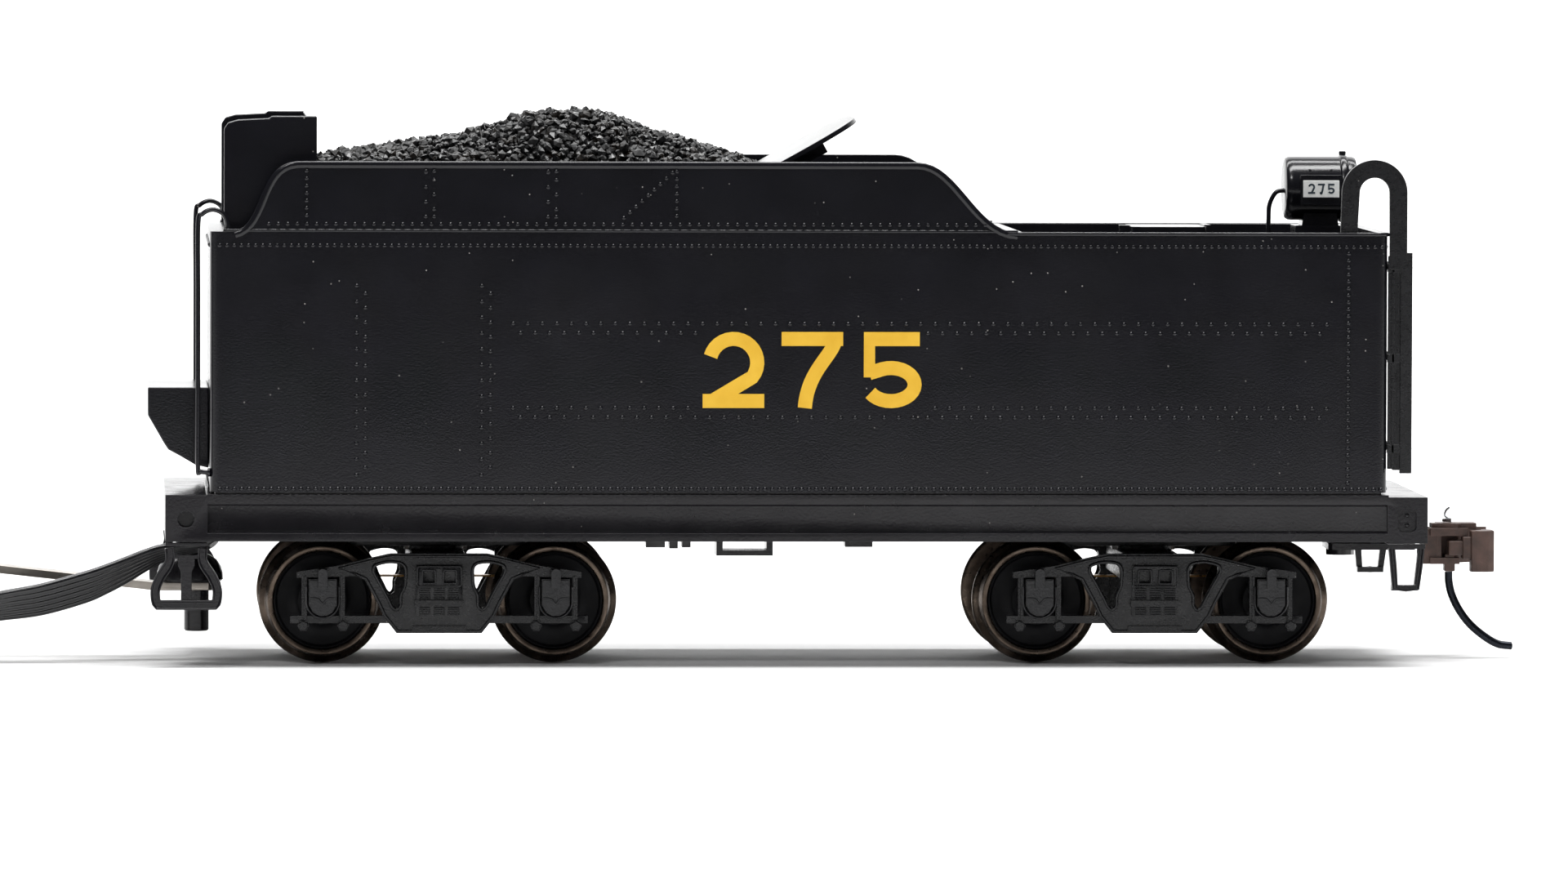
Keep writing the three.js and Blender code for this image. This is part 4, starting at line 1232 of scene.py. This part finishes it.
def sideframe_details(x, side):
    """What is cast on a side frame: window beads, the spring nest, pedestals and bolt heads."""
    window = np.array([
        (-5.9, 9.4), (-5.2, 9.62), (-4.4, 9.7), (-3.5, 9.55), (-3.12, 9.1), (-3.1, 8.3), (-3.2, 7.4),
        (-3.55, 6.6), (-3.6, 5.7), (-3.95, 5.25), (-4.35, 5.5), (-4.75, 6.3), (-5.4, 7.5), (-6.0, 8.6),
        (-6.1, 9.1),
    ])
    made = []
    for mirror, cell_start in ((1, 0.36), (-1, -1.58)):
        opening = curve(window * (mirror, 1), 4, closed=True)
        made.append(loop_bead(opening + (x, 0), side, FRAME_FACE, 0.34, 0.24))
        cell = rounded(cell_start, 7.7, cell_start + CELL_WIDTH, 8.95, 0.12)
        made.append(loop_bead(cell + (x, 0), side, PANEL_FACE, 0.22, 0.16))
    made.append(loop_bead(rounded(-2.05, 7.45, 2.05, 9.28, 0.2) + (x, 0), side, PANEL_FACE, 0.2, 0.14))
    half = np.array([
        (-3.8, 3.25), (-5.0, 4.7), (-5.55, 5.9), (-6.75, 8.12), (-7.7, 8.55), (-9.3, 9.08), (-6.4, 9.8),
        (-4.4, 10.2),
    ])
    edge = np.vstack([half, half[::-1] * (-1, 1)])
    made.append(loop_bead(edge + (x, 0), side, FRAME_FACE, 0.3, 0.16))
    for spring in (-1.35, 0, 1.35):
        start, end = x + spring - COIL_REACH, x + spring + COIL_REACH
        for bottom, top, depth in ((6.35, 7.2, 14.02), (4.8, 5.5, 13.98)):
            for level in np.arange(bottom, top, COIL_PITCH):
                made.append(rod("X", 0.1, start, end, (0, side * depth, level), 8, 0.03))
    made.append(brick(x - 2.3, x + 2.3, side * 13.9, side * 14.35, 5.58, 6.15))
    made.append(brick(x - 2.5, x + 2.5, side * 13.4, side * 13.75, 3.3, 3.75))
    for place in AXLES.values():
        for bolt in (-1.8, 1.9):
            ends = sorted((side * 13.2, side * 13.85))
            made.append(rod("Y", 0.5, *ends, (x + place + bolt, 0, 3.75), 6, 0.08))
        for rib in (-1.62, 1.72):
            middle = x + place + rib
            made.append(brick(middle - 0.09, middle + 0.09, side * 13.3, side * 13.75, 4.3, 8.35))
    return made


def journal_lid(x, side):
    """A journal box: a lid with a rounded foot and a V seam, under a round-topped hinge boss."""
    foot = arc((x, 6.1), 1.28, 180, 360, 18)
    lid = np.vstack([[(x - 1.2, 8.0), (x - 1.28, 6.2)], foot, [(x + 1.28, 6.2), (x + 1.2, 8.0)]])
    boss = np.vstack([[(x - 0.44, 7.3)], arc((x, 8.65), 0.44, 180, 0, 12), [(x + 0.44, 7.3)]])
    rim = np.vstack([[(x - 1.5, 7.4)], arc((x, 6.0), 1.5, 180, 360, 24), [(x + 1.5, 7.4)]])
    seam = [(x - 1.2, 6.35), (x - 0.45, 6.3), (x, 5.85), (x + 0.45, 6.3), (x + 1.2, 6.35)]
    facing = (0, side, 0)
    return [
        plate(lid[::-1], "Y", side * 13.6, side * 14.45),
        plate(boss, "Y", side * 14.2, side * 14.8),
        swept(on_plane(rim, "Y", side * 13.9), half_round(0.24, 0.35), facing),
        swept(on_plane(curve(seam, 4), "Y", side * 14.4), half_round(0.2, 0.16), facing),
    ]


class TENDER_OT_trucks(bpy.types.Operator):
    """Makes the two trucks: side frames, bolsters, wipers, axles and wheels"""

    bl_idname = "tender.trucks"
    bl_label = "Trucks and wheels"

    def execute(self, context):
        for end, x in TRUCKS.items():
            body = f"{end}_truck"
            eased_copy(f"{end}_truck_bolster", f"{end}_bolster", moulded_acetal, body, 0.1)
            eased_copy(f"{end}_truck_pickup_wiper", f"{end}_wiper", spring_bronze, body, 0.03)
            for name, side in SIDES.items():
                eased_copy(
                    f"{end}_truck_sideframe_{name}", f"{end}_sideframe_{name}", moulded_acetal,
                    body, 0.12,
                )
                new_piece(
                    f"{end}_sideframe_fittings_{name}", sideframe_details(x, side), moulded_acetal,
                    body, bevel=0.04,
                )
                lids = [surface for place in AXLES.values() for surface in journal_lid(x + place, side)]
                new_piece(f"{end}_journal_boxes_{name}", lids, rough_acetal, body, bevel=0.09)
            for number, place in AXLES.items():
                spin = f"{end}_wheelset_{number}"
                new_piece(
                    f"{spin}_axle", [axle_shape(x + place)], plated_screw, spin,
                    [f"{end}_axle_{number}"],
                )
                for name, side in SIDES.items():
                    rim = [wheel_rim(x + place, side)]
                    new_piece(
                        f"{spin}_rim_{name}", rim, blackened_nickel, spin,
                        [f"{end}_wheel_{number}_{name}"],
                    )
                    new_piece(
                        f"{spin}_face_{name}", [wheel_face(x + place, side)], painted_wheel,
                        spin,
                    )
        return {"FINISHED"}


# ------------------------------------------------------------------ drawbar and coupler


class TENDER_OT_coupling(bpy.types.Operator):
    """Makes the drawbar, the coupler and its box"""

    bl_idname = "tender.coupling"
    bl_label = "Drawbar and coupler"

    def execute(self, context):
        eased_copy("drawbar", "drawbar_strip", strip_steel, "drawbar", 0.06)
        eased_copy("coupler_box", "coupler_pocket", painted_zinc, bevel=0.1)
        eased_copy("coupler_box_lid", "coupler_pocket_lid", painted_zinc, bevel=0.08)
        eased_copy("coupler_head", "coupler_shank", brown_acetal, "coupler", 0.14)
        jaw = [
            (64, -3.2), (65.6, -3.2), (66.2, -2.8), (66.2, -0.6), (65.7, -0.35), (65.1, -0.6), (65, -1.6),
            (64.3, -2), (63.9, -2.1),
        ]
        knuckle = [
            plate(jaw, "Z", 8.2, 12.1), brick(61.9, 64.2, -2.75, -1.0, 9.75, 11.1),
            brick(61.6, 62.6, -2, -0.6, 8.2, 9.8), brick(63.2, 64.1, -2.95, -1.2, 9.4, 11.5),
        ]
        new_piece(
            "coupler_jaw", knuckle, brown_acetal, "knuckle", ["coupler_knuckle"], bevel=0.12,
        )
        jaws = [
            brick(60.2, 63.8, -2.35, -0.3, 11.55, 12.3), brick(60.2, 63, -2.2, -0.3, 8.9, 9.5),
            rod("Z", 0.42, 9.4, 11.7, (60.9, -1.5, 0)), brick(60.9, 64.6, -1.9, 0.5, 12.2, 12.75),
        ]
        new_piece("coupler_jaws", jaws, brown_acetal, "coupler", bevel=0.1)
        turns = np.linspace(0, 2.2 * 2 * np.pi, 60)
        coil = np.stack([61.9 + 0.36 * np.cos(turns), -0.9 + 0.36 * np.sin(turns), 12.85 + turns * 0.02], -1)
        leaf = curve([coil[-1], (61.75, -0.75, 13.4), (61.8, -0.9, 13.85), (62.15, -1, 14.2)], 6)
        spring = [swept(coil, circle(0.09, 8), up=(0, 0, 1)), swept(leaf, circle(0.1, 8), up=(0, 1, 0))]
        new_piece("coupler_spring", spring, plated_screw, "coupler", ["knuckle_spring"])
        route = [
            (62.05, 8.15), (62.1, 7.1), (62.4, 5.9), (63.1, 4.5), (64.1, 3.2), (65.4, 2.1), (66.7, 1.35),
            (68, 1.15),
        ]
        line = curve([(x, -1.3, z) for x, z in route], steps=10)
        tip = domes([line[-1]], (1, 0, 0), 0.37, 0.15, sides=16)
        new_piece(
            "coupler_trip_pin", [swept(line, circle(0.375, 16), up=(0, 1, 0)), tip], blued_wire,
            "knuckle", ["trip_pin"],
        )
        return {"FINISHED"}


class TENDER_OT_inside(bpy.types.Operator):
    """Gives the weight, the board and the screws their finish"""

    bl_idname = "tender.inside"
    bl_label = "Inside and fasteners"

    def execute(self, context):
        eased_copy("weight", "ballast_weight", raw_zinc, bevel=0.3)
        eased_copy("circuit_board", "lamp_board", solder_mask, bevel=0.05)
        for end in TRUCKS:
            for kind in ("body_screw", "kingpin_screw"):
                eased_copy(f"{end}_{kind}", f"{kind}_{end}", plated_screw, bevel=0.12)
        return {"FINISHED"}


# ------------------------------------------------------------------ stage


def studio_card():
    """The floor and the sweep behind it: matt, pale and faintly uneven."""
    material, tree, shader, place = start("matt studio card", Roughness=0.9)
    shader.inputs["Base Color"].default_value = [*colours().floor, 1]
    relief(tree, shader, place, 3, 0.02)
    behind = add(tree, "ShaderNodeNewGeometry").outputs["Backfacing"]
    clear = add(tree, "ShaderNodeBsdfTransparent").outputs["BSDF"]
    either = add(tree, "ShaderNodeMixShader", {"Fac": behind, 1: shader.outputs["BSDF"], 2: clear})
    tree.links.new(either.outputs["Shader"], tree.nodes["output"].inputs["Surface"])
    return material


def soft_light(context, name, place, aim, size, power):
    """A rectangular light, which throws soft shadows."""
    data = bpy.data.lights.new(name, "AREA")
    data.shape = "RECTANGLE"
    data.size, data.size_y = size
    data.energy = power
    lamp = bpy.data.objects.new(name, data)
    context.scene.collection.objects.link(lamp)
    lamp.location = place
    lamp.rotation_euler = (Vector(aim) - Vector(place)).to_track_quat("-Z", "Y").to_euler()


FLOOR_FRONT, FLOOR_HALF_WIDTH = -0.3, 1.8  # metres, as are the sweep's and the lights' places
SWEEP_TOP = (1.1, 1.6)
ROOM_LIGHT, ROOM_SEEN = 0.09, 1.3  # how strongly the room lights the tender, and how bright it looks itself
LIGHTS = [
    ("overhead", (0.03, -0.1, 0.6), (0, 0, 0.01), (0.5, 0.16), 4.4),
    ("front_fill", (-0.3, -0.75, 0.75), (0, 0, 0.02), (0.24, 0.12), 2.2),
    ("backdrop_wash", (0, 0.4, 1.0), (0, 1.1, 0.25), (1.6, 0.4), 24),
]  # name, place, what it points at, size and power


class TENDER_OT_stage(bpy.types.Operator):
    """Lays the pale floor with its sweep, and sets the soft lights"""

    bl_idname = "tender.stage"
    bl_label = "Stage and lights"

    def execute(self, context):
        bend = arc((0.75, 0.35), 0.35, -90, 0, 16)
        outline = np.vstack([[(FLOOR_FRONT, 0)], bend, [SWEEP_TOP]])
        across = (-FLOOR_HALF_WIDTH, FLOOR_HALF_WIDTH)
        points = np.stack([np.column_stack([np.full(len(outline), x), outline]) for x in across])
        vertices, faces = grid(points)
        mesh = bpy.data.meshes.new("floor")
        mesh.from_pydata(vertices.tolist(), [], faces)
        mesh.shade_smooth()
        mesh.materials.append(studio_card())
        floor = bpy.data.objects.new("floor", mesh)
        context.scene.collection.objects.link(floor)
        for light in LIGHTS:
            soft_light(context, *light)
        world = bpy.data.worlds.new("room")
        world.use_nodes = True
        background = world.node_tree.nodes["Background"]
        background.inputs["Color"].default_value = [*colours().room, 1]
        seen = add(world.node_tree, "ShaderNodeLightPath").outputs["Is Camera Ray"]
        strength = add(
            world.node_tree, "ShaderNodeMapRange", {"Value": seen, "To Min": ROOM_LIGHT, "To Max": ROOM_SEEN},
        )
        world.node_tree.links.new(strength.outputs["Result"], background.inputs["Strength"])
        context.scene.world = world
        context.scene.view_settings.view_transform = "Standard"
        return {"FINISHED"}


# ------------------------------------------------------------------ panel and registration

OPERATORS = [
    TENDER_OT_camera, TENDER_OT_wires, TENDER_OT_tank, TENDER_OT_rivets, TENDER_OT_numbers, TENDER_OT_coal,
    TENDER_OT_lamp, TENDER_OT_climbing, TENDER_OT_underframe, TENDER_OT_trucks, TENDER_OT_coupling,
    TENDER_OT_inside, TENDER_OT_stage,
]


class TENDER_PT_panel(bpy.types.Panel):
    """Lists the tender's sizes, colours and steps"""

    bl_label = "Tender"
    bl_idname = "TENDER_PT_panel"
    bl_space_type = "VIEW_3D"
    bl_region_type = "UI"
    bl_category = "Tender"

    def draw(self, context):
        for group in (context.scene.tender_sizes, context.scene.tender_colours):
            for name in group.__annotations__:
                self.layout.prop(group, name)
        for operator in OPERATORS:
            self.layout.operator(operator.bl_idname)


CLASSES = [TenderSizes, TenderColours, *OPERATORS, TENDER_PT_panel]


def register():
    for item in CLASSES:
        bpy.utils.register_class(item)
    bpy.types.Scene.tender_sizes = PointerProperty(type=TenderSizes)
    bpy.types.Scene.tender_colours = PointerProperty(type=TenderColours)


def unregister():
    del bpy.types.Scene.tender_colours
    del bpy.types.Scene.tender_sizes
    for item in reversed(CLASSES):
        bpy.utils.unregister_class(item)


def main():
    register()
    for operator in OPERATORS:
        group, name = operator.bl_idname.split(".")
        getattr(getattr(bpy.ops, group), name)()


if __name__ == "__main__":
    main()
